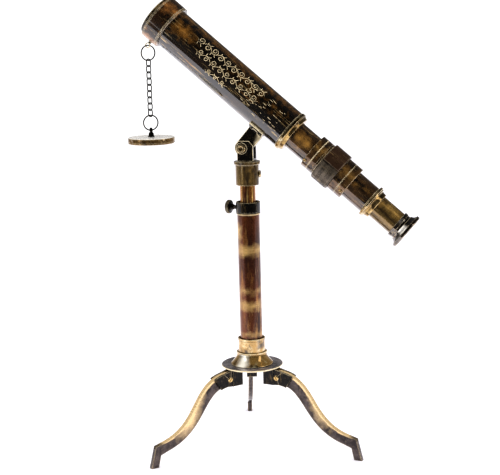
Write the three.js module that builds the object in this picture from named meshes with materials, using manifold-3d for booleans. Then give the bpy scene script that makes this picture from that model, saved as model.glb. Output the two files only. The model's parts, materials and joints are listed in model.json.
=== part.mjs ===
// A brass draw telescope with a chained lens cap, on a table stand with three folding legs.
// Millimetres, +Z up. The feet stand on z = 0 and the origin is under the middle of the whole object.
// Run with the npm packages three and manifold-3d.

import * as THREE from 'three';
import { mergeVertices } from 'three/addons/utils/BufferGeometryUtils.js';
import Module from 'manifold-3d';

const wasm = await Module();
wasm.setup();

// ---------------------------------------------------------------- driving dimensions

const GAP = 0.3;                    // clearance between neighbouring pieces
const ROUND = 32;                   // facets round a tube or a large turned piece
const SMALL_ROUND = 14;             // facets round a screw or stud
const LENS_ROUND = 20;              // facets round a lens
const WIRE_ROUND = 6;               // facets round a chain wire
const LINK_STEPS = 14;              // steps along one chain link
const RING_STEPS = 24;              // steps along a split ring

// Optical tubes, from the objective to the eye
const MAIN_TUBE_DIAMETER = 50;
const DRAW_TUBE_DIAMETER = 35;
const TUBE_WALL = 1.2;
const MAIN_TUBE_SHOWN = 187.5;      // between the bezel and the rear flange
const DRAW_TUBE_SHOWN = 28.4;       // between the rear flange and the focuser
const FOCUS_TUBE_SHOWN = 29.1;      // between the focuser and the eyepiece ring
const EYEPIECE_TUBE_SHOWN = 30.6;   // between the eyepiece ring and the eyecup
const TUBE_OVERLAP = 11;            // how far a fixed tube end goes into its ring

// Objective end
const BEZEL_LENGTH = 23;
const BEZEL_WALL = 3.7;             // bezel outside radius beyond the main tube
const LIP_LENGTH = 4;
const LIP_STEP = 2.7;               // lip radius below the bezel radius
const LIP_SPIGOT = 3;
const LENS_EDGE = 4.6;              // edge thickness of the objective
const LENS_BULGE = 1.6;             // rise of its front face

// Rear flange of the main tube
const FLANGE_BEAD = 4.9;
const FLANGE_TAPER = 4.3;
const FLANGE_RISE = 1.2;            // bead radius beyond the main tube
const FLANGE_SPIGOT = 14.5;
const DRAW_STOP_LENGTH = 4;
const DRAW_STOP_SETBACK = 6.5;      // from the draw stop to the flange spigot

// Focuser
const BAND_RISE = 4.25;             // plain bands' radius beyond the draw tube
const FRONT_RING_LENGTH = 7.9;
const SLEEVE_BAND = 9.4;
const FOCUS_RING_LENGTH = 23.4;
const FOCUS_RING_RISE = 7;          // focus ring's radius beyond the draw tube
const REAR_RING_LENGTH = 19.7;
const SLEEVE_WALL = 2.4;            // under the focus ring
const PIN_RADIUS = 1.5;
const FOCUS_TRAVEL = 5;             // each way from rest
const FOCUS_TURN = 60;              // degrees of the ring for that travel
const RING_SCREW_RADIUS = 1.4;
const RING_SCREW_HEAD = 2.3;
const RING_SCREW_TURN = 118;        // degrees from the top of the tube to its screws

// Eyepiece end
const EYEPIECE_STEP = 3;            // eyepiece tube radius below the focus tube
const EYE_RING_BEAD = 5;
const EYE_RING_TAPER = 6.1;
const EYE_RING_RISE = 3.25;
const EYECUP_LENGTH = 17.1;
const EYECUP_FLARE = 8.3;           // eyecup rim radius beyond the eyepiece tube
const EYE_HOLE_RADIUS = 6;

// Saddle, arm and clevis
const TELESCOPE_TILT = 40.6;        // degrees the objective is raised
const HEAD_YAW = -15.6;             // degrees the head is turned
const SADDLE_SETBACK = 29.1;        // from the arm's middle to the rear flange
const SADDLE_LENGTH = 21;
const SADDLE_THICKNESS = 2.7;
const SADDLE_WRAP = 43;             // degrees each side of the underside
const SADDLE_SCREW_ANGLE = 31;
const SADDLE_SCREW_RADIUS = 1.5;
const SADDLE_SCREW_HEAD = 4.4;
const SCREW_CROWN = 0.8;            // rise of a screw's chamfer
const ARM_REACH = 28.4;             // from the main tube's surface to the pivot
const ARM_WIDTH = 19.7;
const ARM_THICKNESS = 8;
const CHEEK_THICKNESS = 3.6;
const CHEEK_WIDTH = 20;
const CHEEK_RISE = 9;               // above the pivot
const FORK_FOOT = 3;                // thickness under the arm
const PIVOT_OFFSET = -4;            // from the mast axis towards the objective
const PIVOT_RISE = 16;              // above the head flange
const PIVOT_RADIUS = 3;
const PIVOT_HEAD_RADIUS = 5.5;
const PIVOT_HEAD_LENGTH = 3.4;
const WASHER_THICKNESS = 1;
const WASHER_RADIUS = 7;
const NUT_RADIUS = 6;               // across its corners
const NUT_LENGTH = 4.7;
const PIVOT_END = 7;                // bolt beyond the far cheek

// Mast, column and base
const MAST_DIAMETER = 19;
const MAST_WALL = 1.5;
const MAST_SHOWN = 20.5;
const MAST_IN_COLUMN = 143;
const BUSH_LENGTH = 12;
const HEAD_COLLAR_LENGTH = 25.4;
const HEAD_COLLAR_WALL = 4.45;
const HEAD_FLANGE_RADIUS = 16.1;
const HEAD_FLANGE_THICKNESS = 3.6;
const CLAMP_LENGTH = 15;
const CLAMP_RISE = 1.1;             // clamp ring radius beyond the column
const THUMB_SCREW_ANGLE = 152;
const THUMB_SCREW_RADIUS = 2.5;
const THUMB_KNOB_RADIUS = 8.5;
const THUMB_SCREW_HEIGHT = 7.2;     // above the foot of the clamp ring
const CLAMP_SPIGOT = 9;
const CLAMP_RECESS = 2.5;           // depth of the step in its top
const LOCK_SCREW_ANGLE = 12;
const LOCK_SCREW_RADIUS = 1.8;
const LOCK_SCREW_HEAD = 4.6;
const LOCK_SCREW_HEIGHT = 13;       // above the foot of the head collar
const COLUMN_DIAMETER = 27.4;
const COLUMN_SHOWN = 154.5;
const CUP_HEIGHT = 33;              // whole base collar above the plate
const CUP_WALL = 2.8;
const COLUMN_SOCKET = 27;           // depth of the column's socket in the collar
const PLATE_RADIUS = 38.1;
const PLATE_THICKNESS = 2;
const PLATE_HEIGHT = 104;           // underside of the plate above the floor
const BASE_BOLT_RADIUS = 4;
const BASE_WASHER_RADIUS = 9.5;
const BASE_NUT_RADIUS = 6;          // across its corners
const BASE_NUT_DROP = 6;            // below the plate

// Legs
const LEG_COUNT = 3;
const LEG_YAW = 92;                 // degrees of the rear leg
const FOOT_RADIUS = 142.3;          // middle of each foot from the column axis
const FOOT_LENGTH = 10.5;
const FOOT_HEIGHT = 21;             // where the leg's curve meets its foot
const LEG_THICKNESS = 6;
const LEG_ROOT_DEPTH = 17;
const LEG_FOOT_DEPTH = 12.6;
const HINGE_RADIUS = 36;            // leg hinge from the column axis
const HINGE_DROP = 12;              // leg hinge below the plate
const HINGE_PIN_RADIUS = 1.9;
const HINGE_SCREW_HEAD = 3.4;
const BRACKET_INNER = 18;
const BRACKET_BLOCK = 32;           // where the block ends and the cheeks go on
const BRACKET_DROP = 21.6;
const BRACKET_CHEEK = 2.6;
const BRACKET_REACH = 0.15;         // share of the leg's curve that the cheeks cover

// Chain and lens cap
const LUG_STATION = 16;
const LUG_RADIUS = 2.75;
const EYE_RISE = 6.6;               // lug eye's middle above the bezel
const EYE_THICKNESS = 1.4;
const EYE_CLEARANCE = 1.4;
const EYE_WALL = 1.2;
const EYE_WELD = 0.3;               // how far the lug's stem goes into its eye
const RING_WIRE = 0.8;
const RING_RADIUS = 9.2;
const LINK_WIRE = 0.7;
const LINK_LENGTH = 10.7;
const LINK_WIDTH = 8;
const LINK_COUNT = 9;
const RING_TURN = 45;               // degrees of the lug ring from the telescope's plane
const LINK_TURNS = [-22, 58];       // degrees of odd and even links
const CAP_RING_TURN = 35;
const CAP_HEIGHT = 7.7;
const CAP_TOP_THICKNESS = 1.6;
const CAP_STUD_HEIGHT = 11.5;
const CAP_STUD_RADIUS = 3.3;

// ---------------------------------------------------------------- finishes

const FINISHES = {
  dark_brass: { color: '#2a1c10', roughness: 0.34, metalness: 1 },
  brown_brass: { color: '#5a3014', roughness: 0.32, metalness: 1 },
  gold_brass: { color: '#c8973e', roughness: 0.25, metalness: 1 },
  copper_brass: { color: '#8a4a18', roughness: 0.28, metalness: 1 },
  black_brass: { color: '#15110c', roughness: 0.4, metalness: 1 },
  knurled_brass: { color: '#4a4038', roughness: 0.45, metalness: 1 },
  leg_brass: { color: '#4a3828', roughness: 0.38, metalness: 1 },
  glass: { color: '#dfe9ea', roughness: 0.02, metalness: 0 },
};

// ---------------------------------------------------------------- shaping helpers

const rad = THREE.MathUtils.degToRad;

// A solid of revolution about Z. The outline holds [radius, height] points, anticlockwise,
// and closes on itself or starts and ends on the axis.
function turned(outline, sides = ROUND) {
  const onAxis = outline[0][0] === 0;
  const loop = onAxis ? outline : [...outline, outline[0]];
  const points = loop.map(([radius, height]) => new THREE.Vector2(radius, height));
  return new THREE.LatheGeometry(points, sides).rotateX(Math.PI / 2);
}

function tube(inner, outer, low, high, sides = ROUND) {
  return turned([[inner, low], [outer, low], [outer, high], [inner, high]], sides);
}

function rod(radius, low, high, sides = SMALL_ROUND) {
  const geometry = new THREE.CylinderGeometry(radius, radius, high - low, sides);
  return geometry.rotateX(Math.PI / 2).translate(0, 0, (low + high) / 2);
}

function block(x, y, z) {
  const geometry = new THREE.BoxGeometry(x[1] - x[0], y[1] - y[0], z[1] - z[0]);
  return geometry.translate((x[0] + x[1]) / 2, (y[0] + y[1]) / 2, (z[0] + z[1]) / 2);
}

const alongX = (geometry) => geometry.rotateY(Math.PI / 2);
const alongY = (geometry) => geometry.rotateX(-Math.PI / 2);

// A flat plate cut to an outline in X and Z, as thick as given along Y, centred on Y = 0.
function plate(outline, thickness) {
  const shape = outline instanceof THREE.Shape ? outline : new THREE.Shape(outline);
  const options = { depth: thickness, bevelEnabled: false, curveSegments: 10 };
  return new THREE.ExtrudeGeometry(shape, options).rotateX(Math.PI / 2).translate(0, thickness / 2, 0);
}

// A biconvex lens with its axis on Z, between the heights of its edge faces.
function lens(radius, low, high, bulge) {
  const steps = [0.5, 1];
  const front = steps.map((share) => [radius * share, low - bulge * (1 - share ** 2)]);
  const back = steps.map((share) => [radius * share, high + bulge * 0.6 * (1 - share ** 2)]);
  return turned([[0, low - bulge], ...front, ...back.reverse(), [0, high + bulge * 0.6]], LENS_ROUND);
}

function solid(geometry) {
  const bare = geometry.clone();
  bare.deleteAttribute('normal');
  bare.deleteAttribute('uv');
  const merged = mergeVertices(bare, 1e-3);
  const corners = merged.index.array;
  const triangles = [];
  for (let i = 0; i < corners.length; i += 3) {
    const [a, b, c] = corners.slice(i, i + 3);
    if (a !== b && b !== c && c !== a) triangles.push(a, b, c);
  }
  return new wasm.Manifold(new wasm.Mesh({
    numProp: 3,
    vertProperties: merged.attributes.position.array,
    triVerts: new Uint32Array(triangles),
  }));
}

function geometryOf(manifold) {
  const mesh = manifold.getMesh();
  const geometry = new THREE.BufferGeometry();
  geometry.setAttribute('position', new THREE.Float32BufferAttribute(mesh.vertProperties, 3));
  geometry.setIndex(new THREE.Uint32BufferAttribute(mesh.triVerts, 1));
  geometry.computeVertexNormals();
  return geometry;
}

function carve(geometry, ...cutters) {
  return geometryOf(cutters.reduce((body, cutter) => body.subtract(solid(cutter)), solid(geometry)));
}

function weld(first, ...others) {
  return geometryOf(others.reduce((body, other) => body.add(solid(other)), solid(first)));
}

function piece(parent, name, geometry, finish) {
  const mesh = new THREE.Mesh(geometry, new THREE.MeshStandardMaterial(FINISHES[finish]));
  mesh.name = name;
  parent.add(mesh);
  return mesh;
}

// A group at the place that its body turns about or slides from.
function body(parent, name, x = 0, y = 0, z = 0) {
  const group = new THREE.Group();
  group.name = name;
  group.position.set(x, y, z);
  parent.add(group);
  return group;
}

// ---------------------------------------------------------------- derived sizes

const mainRadius = MAIN_TUBE_DIAMETER / 2;
const mainBore = mainRadius - TUBE_WALL;
const bezelRadius = mainRadius + BEZEL_WALL;
const lipRadius = bezelRadius - LIP_STEP;
const drawRadius = DRAW_TUBE_DIAMETER / 2;
const drawBore = drawRadius - TUBE_WALL;
const eyeTubeRadius = drawRadius - EYEPIECE_STEP;
const eyeTubeBore = eyeTubeRadius - TUBE_WALL;
const bandRadius = drawRadius + BAND_RISE;
const sleeveRadius = drawRadius + GAP + SLEEVE_WALL;
const focusRingRadius = drawRadius + FOCUS_RING_RISE;

// Stations along the optical axis, from the front of the lip towards the eye
const bezelFront = LIP_LENGTH + GAP;
const bezelBack = bezelFront + BEZEL_LENGTH;
const flangeFront = bezelBack + MAIN_TUBE_SHOWN;
const flangeBack = flangeFront + FLANGE_BEAD + FLANGE_TAPER;
const frontRingStart = flangeBack + DRAW_TUBE_SHOWN;
const frontRingEnd = frontRingStart + FRONT_RING_LENGTH;
const sleeveStart = frontRingEnd + GAP;
const focusRingStart = sleeveStart + SLEEVE_BAND + GAP;
const focusRingEnd = focusRingStart + FOCUS_RING_LENGTH;
const rearRingStart = focusRingEnd + GAP;
const rearRingEnd = rearRingStart + REAR_RING_LENGTH;
const eyeRingStart = rearRingEnd + FOCUS_TUBE_SHOWN;
const eyeRingEnd = eyeRingStart + EYE_RING_BEAD + EYE_RING_TAPER;
const eyecupStart = eyeRingEnd + EYEPIECE_TUBE_SHOWN;
const eyecupEnd = eyecupStart + EYECUP_LENGTH;
const pinStation = (focusRingStart + focusRingEnd) / 2;
const pivotStation = flangeFront - SADDLE_SETBACK;

// Heights on the column axis
const collarFoot = PLATE_HEIGHT + PLATE_THICKNESS + GAP;
const cupTop = collarFoot + CUP_HEIGHT;
const columnBottom = cupTop - COLUMN_SOCKET + GAP;
const clampBottom = cupTop + COLUMN_SHOWN;
const clampTop = clampBottom + CLAMP_LENGTH;
const headBottom = clampTop + MAST_SHOWN;
const headFlangeLow = headBottom + HEAD_COLLAR_LENGTH;
const headFlangeTop = headFlangeLow + HEAD_FLANGE_THICKNESS;
const mastTop = headFlangeLow - 4;
const pivotHeight = headFlangeTop + PIVOT_RISE;
const mastRadius = MAST_DIAMETER / 2;
const columnRadius = COLUMN_DIAMETER / 2;
const columnBore = columnRadius - TUBE_WALL;
const clampRadius = columnRadius + CLAMP_RISE;
const hingeHeight = PLATE_HEIGHT - HINGE_DROP;

// ---------------------------------------------------------------- main tube and objective

function buildObjective(optics) {
  const seatRadius = mainRadius - 4.5;
  const lensRadius = seatRadius + 2;
  const lensFront = bezelFront + LIP_SPIGOT + GAP;
  const lensBack = lensFront + LENS_EDGE;
  const seatFront = lensBack + GAP;
  const seatBack = seatFront + 2.5;
  const cellRadius = lensRadius + 0.4;
  const tubeFront = seatBack + GAP;

  piece(optics, 'objective_lip_ring', alongX(turned([
    [seatRadius, 0.8], [seatRadius + 1.2, 0], [lipRadius - 0.8, 0], [lipRadius, 0.8],
    [lipRadius, LIP_LENGTH], [cellRadius - GAP, LIP_LENGTH],
    [cellRadius - GAP, LIP_LENGTH + LIP_SPIGOT], [seatRadius, LIP_LENGTH + LIP_SPIGOT],
  ])), 'dark_brass');

  piece(optics, 'objective_lens', alongX(lens(lensRadius, lensFront, lensBack, LENS_BULGE)), 'glass');

  piece(optics, 'objective_bezel', alongX(turned([
    [cellRadius, bezelFront], [bezelRadius, bezelFront], [bezelRadius, bezelBack - 1],
    [bezelRadius - 1, bezelBack], [mainRadius + GAP, bezelBack], [mainRadius + GAP, seatBack],
    [seatRadius, seatBack], [seatRadius, seatFront], [cellRadius, seatFront],
  ])), 'brown_brass');

  piece(optics, 'main_tube', alongX(tube(mainBore, mainRadius, tubeFront, flangeFront - GAP)), 'dark_brass');

  const beadRadius = mainRadius + FLANGE_RISE;
  piece(optics, 'rear_flange', alongX(turned([
    [drawRadius + GAP, flangeFront - FLANGE_SPIGOT], [mainBore - GAP, flangeFront - FLANGE_SPIGOT],
    [mainBore - GAP, flangeFront], [beadRadius, flangeFront],
    [beadRadius, flangeFront + FLANGE_BEAD], [beadRadius - 3.3, flangeBack],
    [drawRadius + GAP, flangeBack],
  ])), 'gold_brass');
}

// The eye that carries the cap's chain stands on the underside of the bezel.
function buildChainLug(optics) {
  const eyeHeight = -(bezelRadius + EYE_RISE);
  const holeRadius = RING_WIRE + EYE_CLEARANCE;
  const eyeRadius = holeRadius + EYE_WALL;
  const stem = rod(LUG_RADIUS, eyeHeight + eyeRadius - EYE_WELD, -bezelRadius - GAP);
  const eye = alongY(rod(eyeRadius, -EYE_THICKNESS / 2, EYE_THICKNESS / 2));
  const hole = alongY(rod(holeRadius, -EYE_THICKNESS, EYE_THICKNESS));
  eye.translate(0, 0, eyeHeight);
  hole.translate(0, 0, eyeHeight);
  const lug = carve(weld(stem, eye), hole).translate(LUG_STATION, 0, 0);
  piece(optics, 'chain_lug', lug, 'black_brass');
  return [LUG_STATION, 0, eyeHeight];
}

// ---------------------------------------------------------------- saddle and arm

function buildSaddle(optics) {
  const inner = mainRadius + GAP;
  const outer = inner + SADDLE_THICKNESS;
  const from = rad(-90 - SADDLE_WRAP);
  const to = rad(-90 + SADDLE_WRAP);
  const shape = new THREE.Shape();
  shape.absarc(0, 0, outer, from, to, false);
  shape.absarc(0, 0, inner, to, from, true);
  const options = { depth: SADDLE_LENGTH, bevelEnabled: false, curveSegments: 9 };
  const strap = new THREE.ExtrudeGeometry(shape, options);
  // The cross-section lies in Y and Z, and the strap runs along X.
  strap.applyMatrix4(new THREE.Matrix4().makeBasis(
    new THREE.Vector3(0, 1, 0), new THREE.Vector3(0, 0, 1), new THREE.Vector3(1, 0, 0)));
  strap.translate(pivotStation - SADDLE_LENGTH / 2, 0, 0);

  const sides = [['near', -1], ['far', 1]];
  const onSide = (geometry, side) =>
    geometry.rotateX(Math.PI + side * rad(SADDLE_SCREW_ANGLE)).translate(pivotStation, 0, 0);
  const hole = () => rod(SADDLE_SCREW_RADIUS + GAP, inner - 1, outer + 1, 12);
  const holes = sides.map(([, side]) => onSide(hole(), side));
  piece(optics, 'saddle_strap', carve(strap, ...holes), 'black_brass');
  for (const [word, side] of sides) {
    const screw = turned([
      [0, inner + GAP], [SADDLE_SCREW_RADIUS, inner + GAP], [SADDLE_SCREW_RADIUS, outer + GAP],
      [SADDLE_SCREW_HEAD, outer + GAP], [SADDLE_SCREW_HEAD, outer + 1.2],
      [SADDLE_SCREW_HEAD - 1.5 * SCREW_CROWN, outer + 1.2 + SCREW_CROWN], [0, outer + 1.2 + SCREW_CROWN],
    ], SMALL_ROUND);
    piece(optics, `saddle_screw_${word}`, onSide(screw, side), 'black_brass');
  }
  return outer;
}

// The arm hangs from the saddle. Its lower end is round about the pivot, the origin of the telescope.
function buildArm(telescope, axisHeight, saddleRadius) {
  const half = ARM_WIDTH / 2;
  const shape = new THREE.Shape();
  shape.moveTo(half, axisHeight - saddleRadius * 0.8);
  shape.lineTo(-half, axisHeight - saddleRadius * 0.8);
  shape.absarc(0, 0, half, Math.PI, 2 * Math.PI, false);
  const tubeSpace = alongX(rod(saddleRadius + GAP, -ARM_WIDTH, ARM_WIDTH, ROUND)).translate(0, 0, axisHeight);
  const pivotHole = alongY(rod(PIVOT_RADIUS + GAP, -ARM_THICKNESS, ARM_THICKNESS));
  piece(telescope, 'saddle_arm', carve(plate(shape, ARM_THICKNESS), tubeSpace, pivotHole), 'black_brass');
}

// ---------------------------------------------------------------- draw tube and focuser

const ringScrewHole = (station) =>
  rod(RING_SCREW_RADIUS + GAP, drawRadius, bandRadius + 1, 12)
    .rotateX(rad(RING_SCREW_TURN)).translate(station, 0, 0);

function buildRingScrew(draw, name, station) {
  const screw = turned([
    [0, drawRadius + 2 * GAP], [RING_SCREW_RADIUS, drawRadius + 2 * GAP],
    [RING_SCREW_RADIUS, bandRadius + GAP], [RING_SCREW_HEAD, bandRadius + GAP],
    [RING_SCREW_HEAD, bandRadius + 0.9], [RING_SCREW_HEAD - 0.5, bandRadius + 1.3], [0, bandRadius + 1.3],
  ], 12);
  screw.rotateX(rad(RING_SCREW_TURN)).translate(station, 0, 0);
  piece(draw, name, screw, 'gold_brass');
}

function buildDraw(draw) {
  const bore = drawRadius + GAP;
  const spigotRadius = bore + 2;
  const spigotStart = frontRingStart + FRONT_RING_LENGTH / 2;
  const drawEnd = spigotStart - GAP;
  const stopEnd = flangeFront - FLANGE_SPIGOT - DRAW_STOP_SETBACK;
  const stopStart = stopEnd - DRAW_STOP_LENGTH;

  piece(draw, 'draw_tube', alongX(turned([
    [drawBore, stopStart], [mainBore - GAP, stopStart], [mainBore - GAP, stopEnd],
    [drawRadius, stopEnd], [drawRadius, drawEnd], [drawBore, drawEnd],
  ])), 'dark_brass');

  piece(draw, 'erector_lens', alongX(lens(drawBore - GAP, stopEnd + 2, stopEnd + 5, 1)), 'glass');

  const frontRing = alongX(turned([
    [bore, frontRingStart], [bandRadius, frontRingStart], [bandRadius, frontRingEnd],
    [spigotRadius + GAP, frontRingEnd], [spigotRadius + GAP, spigotStart], [bore, spigotStart],
  ]));
  const frontScrew = frontRingStart + FRONT_RING_LENGTH / 4;
  piece(draw, 'front_end_ring', carve(frontRing, ringScrewHole(frontScrew)), 'brown_brass');
  buildRingScrew(draw, 'front_ring_screw', frontScrew);

  // The sleeve's straight slot lets the drive pin slide, and keeps it from turning.
  const sleeveEnd = rearRingStart + REAR_RING_LENGTH / 2;
  const sleeve = alongX(turned([
    [bore, spigotStart + GAP], [spigotRadius, spigotStart + GAP], [spigotRadius, sleeveStart],
    [bandRadius, sleeveStart], [bandRadius, sleeveStart + SLEEVE_BAND],
    [sleeveRadius, sleeveStart + SLEEVE_BAND], [sleeveRadius, sleeveEnd], [bore, sleeveEnd],
  ]));
  const slotHalf = FOCUS_TRAVEL + PIN_RADIUS + GAP + 0.1;
  const slotWide = PIN_RADIUS + GAP + 0.1;
  const slotSpan = [pinStation - slotHalf, pinStation + slotHalf];
  const slot = block(slotSpan, [-slotWide, slotWide], [drawRadius - 2, sleeveRadius + 2]);
  piece(draw, 'focus_sleeve', carve(sleeve, slot), 'brown_brass');

  const rearRing = alongX(turned([
    [bore, sleeveEnd + GAP], [sleeveRadius + GAP, sleeveEnd + GAP], [sleeveRadius + GAP, rearRingStart],
    [bandRadius, rearRingStart], [bandRadius, rearRingEnd], [bore, rearRingEnd],
  ]));
  const rearScrew = rearRingEnd - FRONT_RING_LENGTH / 2;
  piece(draw, 'rear_end_ring', carve(rearRing, ringScrewHole(rearScrew)), 'brown_brass');
  buildRingScrew(draw, 'rear_ring_screw', rearScrew);
}

// The focus ring has a helical groove inside, which carries the drive pin along its slot.
class GroovePath extends THREE.Curve {
  getPoint(share, target = new THREE.Vector3()) {
    const turn = rad(FOCUS_TURN + 8) * (2 * share - 1);
    const advance = FOCUS_TRAVEL * turn / rad(FOCUS_TURN);
    const radius = sleeveRadius + GAP;
    return target.set(pinStation + advance, radius * Math.sin(turn), radius * Math.cos(turn));
  }
}

function buildFocusRing(turning) {
  const section = new THREE.Shape();
  section.absarc(0, 0, PIN_RADIUS + 2.5 * GAP, 0, 2 * Math.PI, false);
  const options = { steps: 20, extrudePath: new GroovePath(), bevelEnabled: false, curveSegments: 5 };
  const groove = new THREE.ExtrudeGeometry(section, options);
  const ring = alongX(turned([
    [sleeveRadius + GAP, focusRingStart], [focusRingRadius - 0.8, focusRingStart],
    [focusRingRadius, focusRingStart + 0.8], [focusRingRadius, focusRingEnd - 0.8],
    [focusRingRadius - 0.8, focusRingEnd], [sleeveRadius + GAP, focusRingEnd],
  ]));
  piece(turning, 'focus_ring', carve(ring, groove), 'knurled_brass');
}

// ---------------------------------------------------------------- eyepiece

function buildEyepiece(eyepiece) {
  const tubeStart = focusRingStart - 3;
  const spigotStart = eyeRingStart - 6;
  const ringBore = eyeTubeRadius + GAP;
  const pinHole = rod(PIN_RADIUS + GAP, drawBore - 1, drawRadius + 1, 12).translate(pinStation, 0, 0);
  const focusTube = alongX(tube(drawBore, drawRadius, tubeStart, eyeRingStart - GAP));
  piece(eyepiece, 'focus_tube', carve(focusTube, pinHole), 'dark_brass');

  const pin = rod(PIN_RADIUS, drawBore + 0.1, sleeveRadius + 1.6, 12).translate(pinStation, 0, 0);
  piece(eyepiece, 'drive_pin', pin, 'gold_brass');

  piece(eyepiece, 'eyepiece_ring', alongX(turned([
    [ringBore, spigotStart], [drawBore - GAP, spigotStart], [drawBore - GAP, eyeRingStart],
    [drawRadius + EYE_RING_RISE, eyeRingStart], [drawRadius + EYE_RING_RISE, eyeRingStart + EYE_RING_BEAD],
    [drawRadius + 0.2, eyeRingStart + EYE_RING_BEAD], [ringBore + 1.7, eyeRingEnd], [ringBore, eyeRingEnd],
  ])), 'gold_brass');

  const tubeEnd = eyecupStart + 3.3;
  const tubeFront = eyeRingEnd - TUBE_OVERLAP + 1;
  const eyeTube = alongX(tube(eyeTubeBore, eyeTubeRadius, tubeFront, tubeEnd));
  piece(eyepiece, 'eyepiece_tube', eyeTube, 'brown_brass');
  const lensRadius = eyeTubeBore - GAP;
  piece(eyepiece, 'field_lens', alongX(lens(lensRadius, tubeFront + 4, tubeFront + 7, 0.9)), 'glass');
  piece(eyepiece, 'eye_lens', alongX(lens(lensRadius, tubeEnd - 4, tubeEnd - 1.4, 0.7)), 'glass');

  const rim = eyeTubeRadius + EYECUP_FLARE;
  const flareStart = eyecupEnd - 9.8;
  const holeStart = tubeEnd + GAP;
  piece(eyepiece, 'eyecup', alongX(turned([
    [EYE_HOLE_RADIUS, holeStart], [ringBore, holeStart], [ringBore, eyecupStart],
    [eyeTubeRadius + 2.2, eyecupStart], [eyeTubeRadius + 2.2, eyecupStart + 4.9],
    [eyeTubeRadius + 1.5, eyecupStart + 4.9], [eyeTubeRadius + 1.5, flareStart],
    [eyeTubeRadius + 2.8, flareStart], [eyeTubeRadius + 4.1, flareStart + 2.9], [rim - 1.3, eyecupEnd - 4.2],
    [rim, eyecupEnd - 4.2], [rim, eyecupEnd - 0.6], [rim - 0.8, eyecupEnd], [rim - 2.6, eyecupEnd],
    [rim - 6.5, eyecupEnd - 5], [rim - 11, eyecupEnd - 9], [EYE_HOLE_RADIUS, holeStart + 1.6],
  ])), 'dark_brass');
}

// ---------------------------------------------------------------- head

function buildHead(head) {
  const collarRadius = mastRadius + GAP + HEAD_COLLAR_WALL;
  const bore = mastRadius + GAP;
  const collar = turned([
    [0, mastTop + GAP], [bore, mastTop + GAP], [bore, headBottom], [collarRadius, headBottom],
    [collarRadius, headFlangeLow], [HEAD_FLANGE_RADIUS, headFlangeLow],
    [HEAD_FLANGE_RADIUS, headFlangeTop], [0, headFlangeTop],
  ]);
  const lockHeight = headBottom + LOCK_SCREW_HEIGHT;
  const place = (geometry) =>
    alongX(geometry).rotateZ(rad(LOCK_SCREW_ANGLE)).translate(0, 0, lockHeight);
  const lockHole = place(rod(LOCK_SCREW_RADIUS + GAP, bore - 1, collarRadius + 2, 12));
  piece(head, 'head_collar', carve(collar, lockHole), 'brown_brass');
  const lockScrew = body(head, 'swivel_lock', 0, 0, lockHeight);
  piece(lockScrew, 'swivel_lock_screw', alongX(turned([
    [0, bore], [LOCK_SCREW_RADIUS, bore], [LOCK_SCREW_RADIUS, collarRadius + GAP],
    [LOCK_SCREW_HEAD, collarRadius + GAP], [LOCK_SCREW_HEAD, collarRadius + 1.8],
    [LOCK_SCREW_HEAD - 1, collarRadius + 1.8 + SCREW_CROWN], [0, collarRadius + 1.8 + SCREW_CROWN],
  ], SMALL_ROUND)).rotateZ(rad(LOCK_SCREW_ANGLE)), 'gold_brass');

  // Two cheeks on a foot take the arm between them.
  const inside = ARM_THICKNESS / 2 + GAP;
  const outside = inside + CHEEK_THICKNESS;
  const half = CHEEK_WIDTH / 2;
  const pivotHeightHere = pivotHeight - headFlangeTop;
  const cheekTop = pivotHeightHere + CHEEK_RISE;
  const fork = plate([
    new THREE.Vector2(-half, GAP), new THREE.Vector2(half, GAP), new THREE.Vector2(half, cheekTop - 4),
    new THREE.Vector2(half - 4, cheekTop), new THREE.Vector2(-half + 2, cheekTop),
    new THREE.Vector2(-half, cheekTop - 2),
  ], 2 * outside);
  const armSpace = block([-half - 1, half + 1], [-inside, inside], [FORK_FOOT, cheekTop + 1]);
  const boltHole = alongY(rod(PIVOT_RADIUS + GAP, -outside - 1, outside + 1));
  boltHole.translate(PIVOT_OFFSET, 0, pivotHeightHere);
  const clevis = carve(fork, armSpace, boltHole).translate(0, 0, headFlangeTop);
  piece(head, 'clevis', clevis, 'black_brass');

  const washerNear = -outside - GAP;
  const headNear = washerNear - WASHER_THICKNESS - GAP;
  const bolt = alongY(turned([
    [0, headNear - PIVOT_HEAD_LENGTH + 1.4], [3, headNear - PIVOT_HEAD_LENGTH + 1.4],
    [3.3, headNear - PIVOT_HEAD_LENGTH], [PIVOT_HEAD_RADIUS - 0.6, headNear - PIVOT_HEAD_LENGTH],
    [PIVOT_HEAD_RADIUS, headNear - PIVOT_HEAD_LENGTH + 0.6], [PIVOT_HEAD_RADIUS, headNear],
    [PIVOT_RADIUS, headNear], [PIVOT_RADIUS, outside + PIVOT_END], [0, outside + PIVOT_END],
  ], 24));
  const washerFar = washerNear - WASHER_THICKNESS;
  const washer = alongY(tube(PIVOT_RADIUS + GAP, WASHER_RADIUS, washerFar, washerNear, 24));
  const nutBlank = rod(NUT_RADIUS, outside + GAP, outside + GAP + NUT_LENGTH, 6);
  const nut = alongY(carve(nutBlank, rod(PIVOT_RADIUS + GAP, outside, outside + PIVOT_END)));
  for (const part of [bolt, washer, nut]) part.translate(PIVOT_OFFSET, 0, pivotHeight);
  piece(head, 'pivot_bolt', bolt, 'gold_brass');
  piece(head, 'pivot_washer', washer, 'black_brass');
  piece(head, 'pivot_nut', nut, 'dark_brass');
}

// ---------------------------------------------------------------- mast and column

function buildMast(mast) {
  const bottom = clampBottom - MAST_IN_COLUMN;
  // The thick foot guides the mast in the column.
  piece(mast, 'mast_tube', turned([
    [mastRadius - MAST_WALL, bottom], [columnBore - GAP, bottom], [columnBore - GAP, bottom + BUSH_LENGTH],
    [mastRadius, bottom + BUSH_LENGTH], [mastRadius, mastTop], [mastRadius - MAST_WALL, mastTop],
  ]), 'copper_brass');
}

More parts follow.
